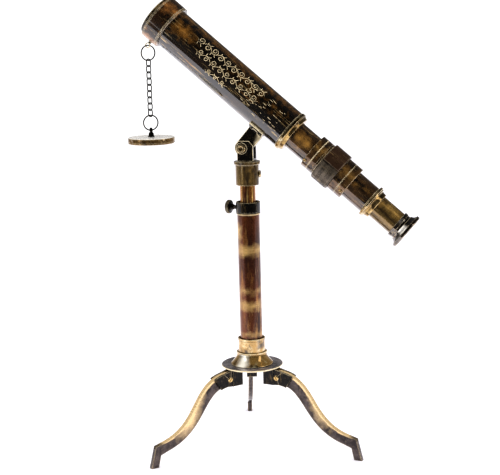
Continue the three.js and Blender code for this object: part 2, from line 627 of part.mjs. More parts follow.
function buildColumn(stand) {
  piece(stand, 'column_tube', tube(columnBore, columnRadius, columnBottom, clampBottom - GAP), 'brown_brass');

  const bore = mastRadius + GAP;
  const recess = clampRadius - 1.5;
  const ring = turned([
    [bore, clampBottom - CLAMP_SPIGOT], [columnBore - GAP, clampBottom - CLAMP_SPIGOT],
    [columnBore - GAP, clampBottom],
    [clampRadius, clampBottom], [clampRadius, clampTop], [recess, clampTop],
    [recess, clampTop - CLAMP_RECESS], [bore, clampTop - CLAMP_RECESS],
  ]);
  const screwHeight = clampBottom + THUMB_SCREW_HEIGHT;
  const screwHole = alongX(rod(THUMB_SCREW_RADIUS + GAP, bore - 1, clampRadius + 1))
    .rotateZ(rad(THUMB_SCREW_ANGLE)).translate(0, 0, screwHeight);
  piece(stand, 'clamp_ring', carve(ring, screwHole), 'dark_brass');

  const thumb = body(stand, 'thumb', 0, 0, screwHeight);
  const neck = clampRadius + 2.5;
  const knob = clampRadius + 9.5;
  piece(thumb, 'thumb_screw', alongX(turned([
    [0, bore], [THUMB_SCREW_RADIUS, bore], [THUMB_SCREW_RADIUS, neck], [4, knob - 1],
    [THUMB_KNOB_RADIUS - 0.6, knob], [THUMB_KNOB_RADIUS, knob + 0.6], [THUMB_KNOB_RADIUS, knob + 3.6],
    [THUMB_KNOB_RADIUS - 0.8, knob + 4.2], [0, knob + 4.2],
  ], 24)).rotateZ(rad(THUMB_SCREW_ANGLE)), 'black_brass');
}

function buildBase(stand) {
  const cupRadius = columnRadius + CUP_WALL;
  const socket = columnRadius + GAP;
  const boltBore = BASE_BOLT_RADIUS + GAP;
  const shoulder = collarFoot + 14.7;
  const flare = PLATE_RADIUS - 12;
  piece(stand, 'base_collar', turned([
    [boltBore, collarFoot], [flare, collarFoot], [flare, collarFoot + 1], [cupRadius + 5.8, collarFoot + 5],
    [cupRadius + 3, collarFoot + 9.5], [cupRadius + 1.9, shoulder - 1.2], [cupRadius + 2.5, shoulder - 0.6],
    [cupRadius + 2.5, shoulder + 0.8], [cupRadius, shoulder + 1.4], [cupRadius, cupTop - 3],
    [cupRadius + 0.5, cupTop - 2.4], [cupRadius + 0.5, cupTop], [cupRadius - 0.9, cupTop],
    [cupRadius - 0.9, cupTop - 3], [socket, cupTop - 3], [socket, cupTop - COLUMN_SOCKET],
    [boltBore, cupTop - COLUMN_SOCKET],
  ]), 'gold_brass');

  const disc = tube(boltBore, PLATE_RADIUS, PLATE_HEIGHT, PLATE_HEIGHT + PLATE_THICKNESS);
  piece(stand, 'base_plate', disc, 'gold_brass');

  const seat = PLATE_HEIGHT - GAP;
  const boltTop = cupTop - COLUMN_SOCKET - 0.5;
  piece(stand, 'base_bolt', weld(
    rod(BASE_BOLT_RADIUS, seat - 1, boltTop), rod(BASE_WASHER_RADIUS, seat - 2, seat),
    rod(BASE_NUT_RADIUS, seat - BASE_NUT_DROP, seat - 1.9, 6),
  ), 'gold_brass');
}

// ---------------------------------------------------------------- legs

const legRoot = new THREE.Vector2(HINGE_RADIUS, hingeHeight);
const legEnd = new THREE.Vector2(FOOT_RADIUS - 4.3, FOOT_HEIGHT);
const legSpan = legEnd.x - legRoot.x;
const legDrop = legRoot.y - legEnd.y;
const legCurve = new THREE.CubicBezierCurve(
  legRoot,
  new THREE.Vector2(legRoot.x + 0.476 * legSpan, legRoot.y - 0.042 * legDrop),
  new THREE.Vector2(legEnd.x - 0.66 * legSpan, legEnd.y + 0.155 * legDrop),
  legEnd,
);

// A point on the leg's upper (side 1) or lower (side -1) edge, in radius and height.
function legEdge(share, side, extra = 0) {
  const middle = legCurve.getPoint(share);
  const tangent = legCurve.getTangent(share);
  const half = THREE.MathUtils.lerp(LEG_ROOT_DEPTH, LEG_FOOT_DEPTH, share) / 2 + extra;
  return new THREE.Vector2(middle.x - side * half * tangent.y, middle.y + side * half * tangent.x);
}

const shares = (from, to, count) =>
  Array.from({ length: count + 1 }, (unused, i) => from + (to - from) * i / count);

function legOutline() {
  const upper = shares(0, 0.97, 14).map((share) => legEdge(share, 1));
  const lower = shares(0, 0.93, 14).map((share) => legEdge(share, -1));
  const foot = [
    new THREE.Vector2(legEnd.x + 2.6, legEnd.y + LEG_FOOT_DEPTH * 0.42),
    new THREE.Vector2(FOOT_RADIUS + FOOT_LENGTH / 2, 0),
    new THREE.Vector2(FOOT_RADIUS - FOOT_LENGTH / 2, 0),
    new THREE.Vector2(FOOT_RADIUS - FOOT_LENGTH / 2 - 3.4, legEnd.y - LEG_FOOT_DEPTH * 0.55),
  ];
  const start = legCurve.getTangent(0).angle();
  const rootEnd = shares(-90, -270, 8).slice(1, -1).map((degrees) => {
    const angle = start + rad(degrees);
    const reach = LEG_ROOT_DEPTH / 2;
    return new THREE.Vector2(legRoot.x + reach * Math.cos(angle), legRoot.y + reach * Math.sin(angle));
  });
  return [...upper, ...foot, ...lower.reverse(), ...rootEnd];
}

function buildLeg(stand, number) {
  const spoke = body(stand, `spoke_${number}`);
  spoke.rotation.z = rad(LEG_YAW + (number - 1) * 360 / LEG_COUNT);

  const slotHalf = LEG_THICKNESS / 2 + GAP;
  const outside = slotHalf + BRACKET_CHEEK;
  const top = PLATE_HEIGHT - GAP;
  const bottom = PLATE_HEIGHT - BRACKET_DROP;
  const upper = shares(0.05, BRACKET_REACH, 3).map((share) => legEdge(share, 1, 0.4));
  const lower = shares(0.03, BRACKET_REACH - 0.02, 3).map((share) => legEdge(share, -1, 0.4));
  const cheeks = plate([
    new THREE.Vector2(BRACKET_BLOCK - 2, bottom), ...lower, ...upper.reverse(),
    new THREE.Vector2(BRACKET_BLOCK + 2, top - 1), new THREE.Vector2(BRACKET_BLOCK - 2, top - 1),
  ], 2 * outside);
  const shell = block([BRACKET_INNER, BRACKET_BLOCK], [-outside - 0.5, outside + 0.5], [bottom, top]);
  const slotFrom = HINGE_RADIUS - LEG_ROOT_DEPTH / 2 - 2 * GAP;
  const slotTop = hingeHeight + LEG_ROOT_DEPTH / 2 + GAP;
  const slot = block([slotFrom, FOOT_RADIUS], [-slotHalf, slotHalf], [0, slotTop]);
  const openTop = block([BRACKET_BLOCK + 0.01, FOOT_RADIUS], [-slotHalf, slotHalf], [0, top + 1]);
  const hingeHole = (radius, reach) =>
    alongY(rod(radius, -reach, reach, 12)).translate(HINGE_RADIUS, 0, hingeHeight);
  const bracket = carve(weld(shell, cheeks), slot, openTop, hingeHole(HINGE_PIN_RADIUS + GAP, outside + 2));
  piece(spoke, `leg_bracket_${number}`, bracket, 'black_brass');

  const side = number === 2 ? 1 : -1;
  const screw = alongY(turned([
    [0, -outside - 0.4], [HINGE_PIN_RADIUS, -outside - 0.4], [HINGE_PIN_RADIUS, outside + GAP],
    [HINGE_SCREW_HEAD, outside + GAP], [HINGE_SCREW_HEAD, outside + 1.1],
    [HINGE_SCREW_HEAD - 0.9, outside + 1.7],
    [0, outside + 1.7],
  ], SMALL_ROUND)).rotateZ(side > 0 ? 0 : Math.PI).translate(HINGE_RADIUS, 0, hingeHeight);
  piece(spoke, `leg_hinge_screw_${number}`, screw, 'gold_brass');

  const folding = body(spoke, `leg_fold_${number}`, HINGE_RADIUS, 0, hingeHeight);
  const legHole = hingeHole(HINGE_PIN_RADIUS + GAP, LEG_THICKNESS);
  const leg = carve(plate(legOutline(), LEG_THICKNESS), legHole);
  piece(folding, `leg_${number}`, leg.translate(-HINGE_RADIUS, 0, -hingeHeight), 'leg_brass');
}

// ---------------------------------------------------------------- chain and lens cap

// A ring in the X and Z plane, its middle as far below the origin as given, drawn out along Z.
function wireRing(radius, wire, steps, middle, stretch = 0) {
  const geometry = new THREE.TorusGeometry(radius, wire, WIRE_ROUND, steps);
  geometry.rotateZ(Math.PI / steps);
  const position = geometry.attributes.position;
  for (let i = 0; i < position.count; i += 1) {
    position.setY(i, position.getY(i) + Math.sign(position.getY(i)) * stretch);
  }
  return geometry.rotateX(Math.PI / 2).translate(0, 0, -middle);
}

// Each link hangs from a group at the middle of the wire above it, which is its hinge.
function buildChain(telescope, eye) {
  const lugRing = body(telescope, 'lug_ring_swing', ...eye);
  lugRing.rotation.y = rad(-TELESCOPE_TILT);
  piece(lugRing, 'lug_ring', wireRing(RING_RADIUS, RING_WIRE, RING_STEPS, RING_RADIUS), 'black_brass')
    .rotation.z = rad(RING_TURN);

  const linkSpan = LINK_LENGTH - 2 * LINK_WIRE;
  const bend = LINK_WIDTH / 2 - LINK_WIRE;
  let above = lugRing;
  let drop = 2 * RING_RADIUS;
  let wireAbove = RING_WIRE;
  for (let number = 1; number <= LINK_COUNT; number += 1) {
    const rise = wireAbove + LINK_WIRE + GAP;
    const link = body(above, `link_hinge_${number}`, 0, 0, -drop);
    const shape = wireRing(bend, LINK_WIRE, LINK_STEPS, linkSpan / 2 - rise, linkSpan / 2 - bend);
    piece(link, `chain_link_${number}`, shape, 'black_brass').rotation.z = rad(LINK_TURNS[(number - 1) % 2]);
    above = link;
    drop = linkSpan - rise;
    wireAbove = LINK_WIRE;
  }

  const rise = LINK_WIRE + RING_WIRE + GAP;
  const capRing = body(above, 'cap_ring_hinge', 0, 0, -drop);
  piece(capRing, 'cap_ring', wireRing(RING_RADIUS, RING_WIRE, RING_STEPS, RING_RADIUS - rise), 'black_brass')
    .rotation.z = rad(CAP_RING_TURN);
  return body(capRing, 'cap_hinge', 0, 0, -(2 * RING_RADIUS - rise));
}

function buildCap(cap) {
  const eyeRadius = CAP_STUD_RADIUS;
  const eyeHalf = 2;
  const holeRadius = RING_WIRE + eyeHalf ** 2 / (2 * RING_RADIUS) + GAP + 0.15;
  const top = eyeRadius - CAP_STUD_HEIGHT;
  const eye = alongX(rod(eyeRadius, -eyeHalf, eyeHalf));
  const stem = turned([
    [0, top + GAP], [CAP_STUD_RADIUS + 0.8, top + GAP], [CAP_STUD_RADIUS + 0.8, top + 2.4],
    [CAP_STUD_RADIUS - 0.4, top + 3.2], [CAP_STUD_RADIUS - 0.4, -1.6 - holeRadius], [0, -1.6 - holeRadius],
  ], SMALL_ROUND);
  const neck = block([-eyeHalf, eyeHalf], [-2.4, 2.4], [-4 - holeRadius, -holeRadius - 0.5]);
  const hole = alongX(rod(holeRadius, -eyeHalf - 1, eyeHalf + 1, 12));
  piece(cap, 'cap_stud', carve(weld(stem, neck, eye), hole), 'black_brass').rotation.z = rad(CAP_RING_TURN);

  const recess = lipRadius + GAP;
  const bottom = top - CAP_HEIGHT;
  piece(cap, 'lens_cap', turned([
    [0, top - CAP_TOP_THICKNESS], [recess, top - CAP_TOP_THICKNESS], [recess, bottom],
    [bezelRadius, bottom], [bezelRadius, top - 0.5], [bezelRadius - 0.5, top], [0, top],
  ]), 'gold_brass');
}

// ---------------------------------------------------------------- assembly

const object = new THREE.Group();
const stand = body(object, 'stand');
buildBase(stand);
buildColumn(stand);
for (let number = 1; number <= LEG_COUNT; number += 1) buildLeg(stand, number);

const mast = body(stand, 'mast');
buildMast(mast);
const head = body(mast, 'head');
head.rotation.z = rad(HEAD_YAW);
buildHead(head);

const telescope = body(head, 'telescope', PIVOT_OFFSET, 0, pivotHeight);
telescope.rotation.y = rad(TELESCOPE_TILT);
const axisHeight = mainRadius + ARM_REACH;
const optics = body(telescope, 'optics', -pivotStation, 0, axisHeight);
buildObjective(optics);
const saddleRadius = buildSaddle(optics);
buildArm(telescope, axisHeight, saddleRadius);
const draw = body(optics, 'draw');
buildDraw(draw);
const focusRing = body(draw, 'focus_turn');
buildFocusRing(focusRing);
const eyepiece = body(draw, 'eyepiece');
buildEyepiece(eyepiece);

const cap = buildChain(optics, buildChainLug(optics));
buildCap(cap);

// The origin goes under the middle of the whole object, at floor level.
const extent = new THREE.Box3().setFromObject(object, true);
const middle = extent.getCenter(new THREE.Vector3());
stand.position.set(-middle.x, -middle.y, -extent.min.z);

export default object;
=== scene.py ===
import json
import math
import random

import bmesh
import bpy
from mathutils import Matrix, Vector

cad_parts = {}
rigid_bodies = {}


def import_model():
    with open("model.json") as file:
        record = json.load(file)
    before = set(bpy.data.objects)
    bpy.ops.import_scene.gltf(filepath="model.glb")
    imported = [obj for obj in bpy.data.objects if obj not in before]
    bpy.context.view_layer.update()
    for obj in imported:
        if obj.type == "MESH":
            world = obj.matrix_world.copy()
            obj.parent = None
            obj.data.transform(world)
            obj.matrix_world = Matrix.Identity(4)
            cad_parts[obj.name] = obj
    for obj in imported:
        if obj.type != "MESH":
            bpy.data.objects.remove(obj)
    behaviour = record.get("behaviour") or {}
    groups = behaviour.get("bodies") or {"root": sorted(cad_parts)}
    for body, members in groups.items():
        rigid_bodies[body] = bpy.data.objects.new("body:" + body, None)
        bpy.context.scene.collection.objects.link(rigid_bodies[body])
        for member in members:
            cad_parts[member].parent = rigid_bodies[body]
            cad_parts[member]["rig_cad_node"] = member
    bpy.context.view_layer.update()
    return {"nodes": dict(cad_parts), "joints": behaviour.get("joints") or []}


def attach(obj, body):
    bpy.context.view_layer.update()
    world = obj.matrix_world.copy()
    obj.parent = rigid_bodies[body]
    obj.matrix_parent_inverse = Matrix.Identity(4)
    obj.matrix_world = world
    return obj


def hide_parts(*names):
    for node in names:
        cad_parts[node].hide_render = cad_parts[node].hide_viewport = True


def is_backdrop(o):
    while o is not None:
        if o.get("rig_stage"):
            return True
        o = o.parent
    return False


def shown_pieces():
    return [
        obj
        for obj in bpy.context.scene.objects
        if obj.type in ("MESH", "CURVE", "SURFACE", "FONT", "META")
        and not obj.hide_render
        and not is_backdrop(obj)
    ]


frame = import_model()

# Looks of a brass draw telescope with a chained lens cap, on a table stand with three folding legs.
# Lengths in the making functions are millimetres. A piece is made in its own place, with Z along the
# axis it was turned on, so that brushing and streaks follow that axis. Outlines of turned pieces are
# lists of (radius, height, radius of the broken edge).

MM = 0.001
ROUND = 112               # facets round a tube or a large ring
MIDDLE_ROUND = 64         # facets round a lens, bolt head or washer
SMALL_ROUND = 40          # facets round a screw or stud
CORNER = 0.35             # usual radius of a broken edge
GAP = 0.3                 # clearance between two pieces
EDGE_ANGLE = 9            # degrees between faces at which an edge counts as a corner
SHARP_ANGLE = 22          # degrees at which it counts in full
STRAIGHT = 166            # degrees between two sides that need no rounding
SIDE_SHARE = 0.42         # most of a side that one rounded corner takes
LONG_SIDE = 2.4           # how many corner reaches long a side is before it gets a support line
WIRE_ROUND = 14           # facets round a chain wire


# ---------------------------------------------------------------- places taken from the frame

def joint(name):
    return next(entry for entry in frame["joints"] if entry["name"] == name)


def placed(across, along, origin):
    """A place with local Z along the second direction and local X as near the first as it can be."""
    z = Vector(along).normalized()
    y = z.cross(Vector(across)).normalized()
    place = Matrix((y.cross(z), y, z)).transposed().to_4x4()
    place.translation = Vector(origin)
    return place


def local_points(node, place):
    back = place.inverted()
    return [back @ vertex.co / MM for vertex in frame["nodes"][node].data.vertices]


class Ends:
    """How far a CAD node reaches along a place's Z, and its least and greatest radius round it."""

    def __init__(self, node, place):
        points = local_points(node, place)
        radii = [math.hypot(point.x, point.y) for point in points]
        heights = [point.z for point in points]
        self.low, self.high = min(heights), max(heights)
        self.inner, self.outer = min(radii), max(radii)


UP = Vector((0, 0, 1))
swivel = joint("head_swivel")["pos_m"]
COLUMN = placed((1, 0, 0), UP, (swivel[0], swivel[1], 0))
OPTICS = placed(UP, joint("focus_turn")["axis"], joint("focus_turn")["pos_m"])
PIVOT_AXIS = Vector(joint("telescope_tilt")["axis"])
PIVOT = placed(UP, PIVOT_AXIS, joint("telescope_tilt")["pos_m"])
FORK_AXIS = PIVOT_AXIS.cross(UP)
HEAD = placed(FORK_AXIS, UP, (swivel[0], swivel[1], 0))


def spoke(number):
    """The place of a leg: Z up the column's axis, X out along the leg."""
    axis = Vector(joint(f"leg_fold_{number}")["axis"])
    return placed(axis.cross(UP), UP, (swivel[0], swivel[1], 0))


def screw_place(node, place):
    """The place of a screw that points out from an axis, with its own Z along the screw."""
    points = local_points(node, place)
    middle = sum(points, Vector()) / len(points)
    out = place.to_3x3() @ Vector((middle.x, middle.y, 0))
    along = place.to_3x3() @ UP
    return placed(along, out, place @ (Vector((0, 0, middle.z)) * MM))


# ---------------------------------------------------------------- outlines

def soften(outline, closed=True, steps=3, support=0.6):
    """Rounds each corner of an outline of (x, y, radius) points, with a close line beside each round."""
    corners = [(Vector(point[:2]), point[2] if len(point) > 2 else CORNER) for point in outline]
    result = []
    for i, (here, fillet) in enumerate(corners):
        at_end = not closed and i in (0, len(corners) - 1)
        before, after = corners[i - 1][0] - here, corners[(i + 1) % len(corners)][0] - here
        if at_end or fillet <= 0 or before.angle(after) > math.radians(STRAIGHT):
            result.append(here)
            continue
        half = before.angle(after) / 2
        reach = min(fillet / math.tan(half), SIDE_SHARE * before.length, SIDE_SHARE * after.length)
        radius = reach * math.tan(half)
        inward = (before.normalized() + after.normalized()).normalized()
        centre = here + inward * radius / math.sin(half)
        first = here + before.normalized() * reach - centre
        last = here + after.normalized() * reach - centre
        if before.length > LONG_SIDE * (reach + support):
            result.append(here + before.normalized() * (reach + support))
        result += [centre + first.lerp(last, step / steps).normalized() * radius for step in range(steps + 1)]
        if after.length > LONG_SIDE * (reach + support):
            result.append(here + after.normalized() * (reach + support))
    return result


def divided(points, step, closed=True):
    """The same outline with no stretch longer than the step."""
    result = []
    for i, point in enumerate(points):
        result.append(point)
        if not closed and i == len(points) - 1:
            break
        after = points[(i + 1) % len(points)]
        count = max(1, math.ceil((after - point).length / step))
        result += [point.lerp(after, k / count) for k in range(1, count)]
    return result


def arc(centre, radius, first, last, count):
    """Points on an arc, from one angle in degrees to another."""
    turns = [math.radians(first + (last - first) * i / count) for i in range(count + 1)]
    return [(centre[0] + radius * math.cos(turn), centre[1] + radius * math.sin(turn), 0) for turn in turns]


def hexagon(across_corners, corner):
    """The softened outline of a six-sided nut, from the distance of its corners from the middle."""
    turns = [math.radians(60 * k) for k in range(6)]
    return soften([(across_corners * math.cos(turn), across_corners * math.sin(turn), corner) for turn in turns])


def inset(loop, amount):
    """A closed outline moved inwards, along its corner normals."""
    area = sum(a.x * b.y - a.y * b.x for a, b in zip(loop, loop[1:] + loop[:1]))
    side = 1 if area > 0 else -1
    result = []
    for i, point in enumerate(loop):
        into, out = (point - loop[i - 1]).normalized(), (loop[(i + 1) % len(loop)] - point).normalized()
        normal = Vector((-(into.y + out.y), into.x + out.x)) * side
        if normal.length < 1e-6:
            result.append(point)
            continue
        normal.normalize()
        slant = max(0.35, abs(normal.dot(Vector((-into.y, into.x)))))
        result.append(point + normal * amount / slant)
    return result


# ---------------------------------------------------------------- meshes

def new_mesh():
    return bmesh.new()


def bridge(mesh, first, second):
    """Faces between two rings of points. Points that fall together make a triangle."""
    count = len(first)
    for i in range(count):
        j = (i + 1) % count
        ring = [first[i], first[j], second[j], second[i]]
        corners = [vertex for k, vertex in enumerate(ring) if vertex not in ring[:k]]
        if len(corners) > 2:
            mesh.faces.new(corners)


def spin(mesh, points, sides=ROUND, closed=True, ripple=None):
    """Turns an outline of (radius, height) points about Z. A ripple changes the radius by angle."""
    rings = []
    for point in points:
        if point[0] < 1e-5:
            rings.append([mesh.verts.new((0, 0, point[1] * MM))] * sides)
            continue
        ring = []
        for i in range(sides):
            angle = 2 * math.pi * i / sides
            radius = point[0] + (ripple(point[0], point[1], angle) if ripple else 0)
            spot = (radius * math.cos(angle) * MM, radius * math.sin(angle) * MM, point[1] * MM)
            ring.append(mesh.verts.new(spot))
        rings.append(ring)
    pairs = list(zip(rings, rings[1:]))
    if closed:
        pairs.append((rings[-1], rings[0]))
    for first, second in pairs:
        bridge(mesh, first, second)
    return mesh


def stack(mesh, levels):
    """A closed body through rings of points, all of one length, with both ends filled."""
    rings = [[mesh.verts.new(point * MM) for point in level] for level in levels]
    for first, second in zip(rings, rings[1:]):
        bridge(mesh, first, second)
    mesh.faces.new(rings[0])
    mesh.faces.new(rings[-1])
    return mesh


def slab(mesh, outline, low, high, corner=CORNER, support=0.4):
    """A plate cut to a closed outline in X and Y between two heights, with rounded edges all round."""
    steps = [math.radians(90 * k / 3) for k in range(4)]
    rim = [(corner + support, 0)] + [(corner * (1 - math.sin(a)), corner * (1 - math.cos(a))) for a in steps]
    rim.append((0, corner + support))
    levels = [(into, low + rise) for into, rise in rim] + [(into, high - rise) for into, rise in reversed(rim)]
    return stack(mesh, [[Vector((point.x, point.y, height)) for point in inset(outline, into)]
                        for into, height in levels])


def wire(mesh, path, radius, sides=WIRE_ROUND):
    """A closed round wire along a flat path in X and Z."""
    rings = []
    for i, point in enumerate(path):
        along = (path[(i + 1) % len(path)] - path[i - 1]).normalized()
        out = Vector((along.z, 0, -along.x))
        ring = []
        for k in range(sides):
            angle = 2 * math.pi * k / sides
            offset = out * math.cos(angle) + Vector((0, math.sin(angle), 0))
            ring.append(mesh.verts.new((point + offset * radius) * MM))
        rings.append(ring)
    for first, second in zip(rings, rings[1:] + rings[:1]):
        bridge(mesh, first, second)
    return mesh


def oval(length, width, wire_radius, count=44):
    """The middle line of a link or ring whose top wire is at the origin, hanging down."""
    bend = width / 2 - wire_radius
    straight = length / 2 - wire_radius - bend
    middle = -(length / 2 - wire_radius)
    points = []
    for i in range(count):
        angle = 2 * math.pi * (i + 0.5) / count
        lift = straight if math.sin(angle) > 0 else -straight
        points.append(Vector((bend * math.cos(angle), 0, middle + bend * math.sin(angle) + lift)))
    return points


def mark_corners(mesh):
    """Writes how sharp each spot is to the edge attribute: up to 1 outside, down to -1 in a recess."""
    layer = mesh.verts.layers.float.new("edge")
    limit = math.radians(EDGE_ANGLE)
    for vertex in mesh.verts:
        angles = [edge.calc_face_angle_signed(0) for edge in vertex.link_edges if len(edge.link_faces) == 2]
        if not angles:
            continue
        sharpest = max(angles, key=abs)
        if abs(sharpest) > limit:
            vertex[layer] = max(-1.0, min(1.0, sharpest / math.radians(SHARP_ANGLE)))


def shown(name, mesh):
    """Puts a mesh in the scene as an object, and lets go of the working copy."""
    data = bpy.data.meshes.new(name)
    mesh.to_mesh(data)
    mesh.free()
    thing = bpy.data.objects.new(name, data)
    bpy.context.scene.collection.objects.link(thing)
    return thing


def finished(name, mesh, place, body, material, nodes=(), polish=None):
    """Closes a mesh into a piece that rides on a body and stands for CAD nodes."""
    bmesh.ops.remove_doubles(mesh, verts=mesh.verts, dist=1e-7)
    bmesh.ops.recalc_face_normals(mesh, faces=mesh.faces)
    mark_corners(mesh)
    # Per-spot amount of the rub colour: rubbed places, and painted sheen and highlights on the sides that face the
    # lights.
    layer = mesh.verts.layers.float.new("polish")
    if polish:
        for vertex in mesh.verts:
            vertex[layer] = polish(*(vertex.co / MM))
    for face in mesh.faces:
        face.smooth = True
    piece = shown(name, mesh)
    piece.data.materials.append(material)
    piece.matrix_world = place
    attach(piece, body)
    if nodes:
        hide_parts(*nodes)
    return piece


def settle():
    """Moves each made mesh to its place, and keeps where its spots were on the piece for the finishes."""
    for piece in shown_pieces():
        if "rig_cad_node" in piece:
            continue
        spots = piece.data.attributes.new("spot", "FLOAT_VECTOR", "POINT")
        flat = [value for vertex in piece.data.vertices for value in vertex.co]
        spots.data.foreach_set("vector", flat)
        piece.data.transform(piece.matrix_world)
        piece.matrix_world = Matrix.Identity(4)
    bpy.context.view_layer.update()


def cut(piece, make_cutter):
    """Takes a cutter's space out of a piece."""
    mesh = new_mesh()
    make_cutter(mesh)
    bmesh.ops.recalc_face_normals(mesh, faces=mesh.faces)
    cutter = shown("cutter", mesh)
    cutter.matrix_world = piece.matrix_world
    boolean = piece.modifiers.new("cut", "BOOLEAN")
    boolean.object, boolean.solver = cutter, "EXACT"
    bpy.context.view_layer.update()
    result = bpy.data.meshes.new_from_object(piece.evaluated_get(bpy.context.evaluated_depsgraph_get()))
    piece.modifiers.clear()
    result.name = piece.name
    piece.data = result
    bpy.data.objects.remove(cutter)
    return piece


def box(mesh, x, y, z):
    """A box between two values along each axis."""
    corners = [Vector((a, b, 0)) for a, b in ((x[0], y[0]), (x[1], y[0]), (x[1], y[1]), (x[0], y[1]))]
    stack(mesh, [[corner + UP * z[0] for corner in corners], [corner + UP * z[1] for corner in corners]])


def joined(mesh, other, place=Matrix.Identity(4)):
    """Adds a second mesh to the first at a place."""
    bmesh.ops.transform(other, matrix=place, verts=other.verts)
    data = bpy.data.meshes.new("part")
    other.to_mesh(data)
    other.free()
    mesh.from_mesh(data)
    bpy.data.meshes.remove(data)


def flat_faces(piece, angle=30):
    """Keeps the sides of a cut piece crisp."""
    piece.data.shade_smooth()
    piece.data.set_sharp_from_angle(angle=math.radians(angle))
    return piece


# ---------------------------------------------------------------- shared surface effects

def group_node(tree, group, **values):
    node = tree.nodes.new("ShaderNodeGroup")
    node.node_tree = group
    for name, value in values.items():
        node.inputs[name].default_value = value
    return node


def add_node(tree, kind, **settings):
    node = tree.nodes.new(kind)
    for name, value in settings.items():
        setattr(node, name, value)
    return node


def arithmetic(tree, operation, *values):
    node = add_node(tree, "ShaderNodeMath", operation=operation)
    for socket, value in zip(node.inputs, values):
        if isinstance(value, (int, float)):
            socket.default_value = value
        else:
            tree.links.new(value, socket)
    return node.outputs[0]


def product(tree, first, second):
    return arithmetic(tree, "MULTIPLY", first, second)


def blend_colour(tree, share, first, second):
    node = add_node(tree, "ShaderNodeMix", data_type="RGBA")
    for socket, value in ((node.inputs[0], share), (node.inputs[6], first), (node.inputs[7], second)):
        if isinstance(value, bpy.types.NodeSocket):
            tree.links.new(value, socket)
        elif isinstance(value, (int, float)):
            socket.default_value = value
        else:
            socket.default_value = (*value, 1)
    return node.outputs[2]


def spread(tree, value, low, high, to_low=0.0, to_high=1.0):
    node = add_node(tree, "ShaderNodeMapRange")
    tree.links.new(value, node.inputs["Value"])
    for name, amount in (("From Min", low), ("From Max", high), ("To Min", to_low), ("To Max", to_high)):
        if isinstance(amount, (int, float)):
            node.inputs[name].default_value = amount
        else:
            tree.links.new(amount, node.inputs[name])
    return node.outputs["Result"]


def held(tree, name, output="Fac"):
    """What a mesh attribute holds at each spot."""
    return add_node(tree, "ShaderNodeAttribute", attribute_name=name).outputs[output]


def noise(tree, place, detail, scale=1.0, roughness=0.5):
    node = add_node(tree, "ShaderNodeTexNoise")
    for name, value in (("Scale", scale), ("Detail", detail), ("Roughness", roughness)):
        node.inputs[name].default_value = value
    tree.links.new(place, node.inputs["Vector"])
    return node.outputs["Fac"]


def vector(tree, x=None, y=None, z=None):
    node = add_node(tree, "ShaderNodeCombineXYZ")
    for socket, value in zip(node.inputs, (x, y, z)):
        if value is not None:
            tree.links.new(value, socket)
    return node.outputs[0]


def effect_group(name, inputs, outputs):
    tree = bpy.data.node_groups.new(name, "ShaderNodeTree")
    for label, default in inputs.items():
        tree.interface.new_socket(label, in_out="INPUT", socket_type="NodeSocketFloat").default_value = default
    for label in outputs:
        tree.interface.new_socket(label, in_out="OUTPUT", socket_type="NodeSocketFloat")
    return tree, tree.nodes.new("NodeGroupInput"), tree.nodes.new("NodeGroupOutput")


def stretched_place(tree, given):
    """Where a spot is on its piece, times Scale across and Scale over Stretch along Z, moved by Seed."""
    across = given.outputs["Scale"]
    scale = vector(tree, across, across, arithmetic(tree, "DIVIDE", across, given.outputs["Stretch"]))
    sized = add_node(tree, "ShaderNodeVectorMath", operation="MULTIPLY")
    tree.links.new(held(tree, "spot", "Vector"), sized.inputs[0])
    tree.links.new(scale, sized.inputs[1])
    moved = add_node(tree, "ShaderNodeVectorMath", operation="ADD")
    tree.links.new(sized.outputs[0], moved.inputs[0])
    tree.links.new(given.outputs["Seed"], moved.inputs[1])
    return moved.outputs[0]


def streaks_group():
    """Patches drawn out along the piece's axis, as tarnish wears off a handled tube."""
    tree, given, made = effect_group(
        "streaks", {"Scale": 120, "Stretch": 6, "Seed": 0, "From": 0.45, "To": 0.6}, ["Mask"])
    cloud = noise(tree, stretched_place(tree, given), 5, roughness=0.6)
    tree.links.new(spread(tree, cloud, given.outputs["From"], given.outputs["To"]), made.inputs["Mask"])
    return tree


def scratches_group():
    """Short fine bright scratches and dashes along the axis, gathered in some places."""
    tree, given, made = effect_group(
        "scratches", {"Scale": 900, "Stretch": 14, "Seed": 0, "From": 0.64, "To": 0.7}, ["Mask"])
    place = stretched_place(tree, given)
    line = spread(tree, noise(tree, place, 2), given.outputs["From"], given.outputs["To"])
    gathered = spread(tree, noise(tree, place, 2, scale=0.13), 0.45, 0.62)
    tree.links.new(product(tree, line, gathered), made.inputs["Mask"])
    return tree


def worn_edges_group():
    """Cream on outer corners, part edge wear and part painted highlight; darkening in inner corners and recesses; and
    the rub colour on rubbed places and painted sheen; each broken up.
    """
    tree, given, made = effect_group(
        "worn edges", {"Scale": 150, "Stretch": 1, "Seed": 0, "Wear": 1, "Break": 1}, ["Wear", "Grime", "Rubbed"])
    edge = held(tree, "edge")
    cloud = noise(tree, stretched_place(tree, given), 4)
    uneven = spread(tree, cloud, 0.32, 0.55, 0.6, 1.0)
    # Edge colour on outer corners: part edge wear, part painted highlight.
    worn = product(tree, spread(tree, edge, 0.15, 0.7), uneven)
    tree.links.new(product(tree, worn, given.outputs["Wear"]), made.inputs["Wear"])
    # Darker in inner corners and recesses.
    recess = spread(tree, product(tree, edge, -1.0), 0.1, 0.9)
    tree.links.new(product(tree, recess, uneven), made.inputs["Grime"])
    breaks = product(tree, arithmetic(tree, "SUBTRACT", cloud, 0.5), given.outputs["Break"])
    # Rub colour where the per-spot amount asks for it: rubbed places and painted sheen.
    rubbed = spread(tree, arithmetic(tree, "ADD", held(tree, "polish"), breaks), 0.2, 0.85)
    tree.links.new(rubbed, made.inputs["Rubbed"])
    return tree


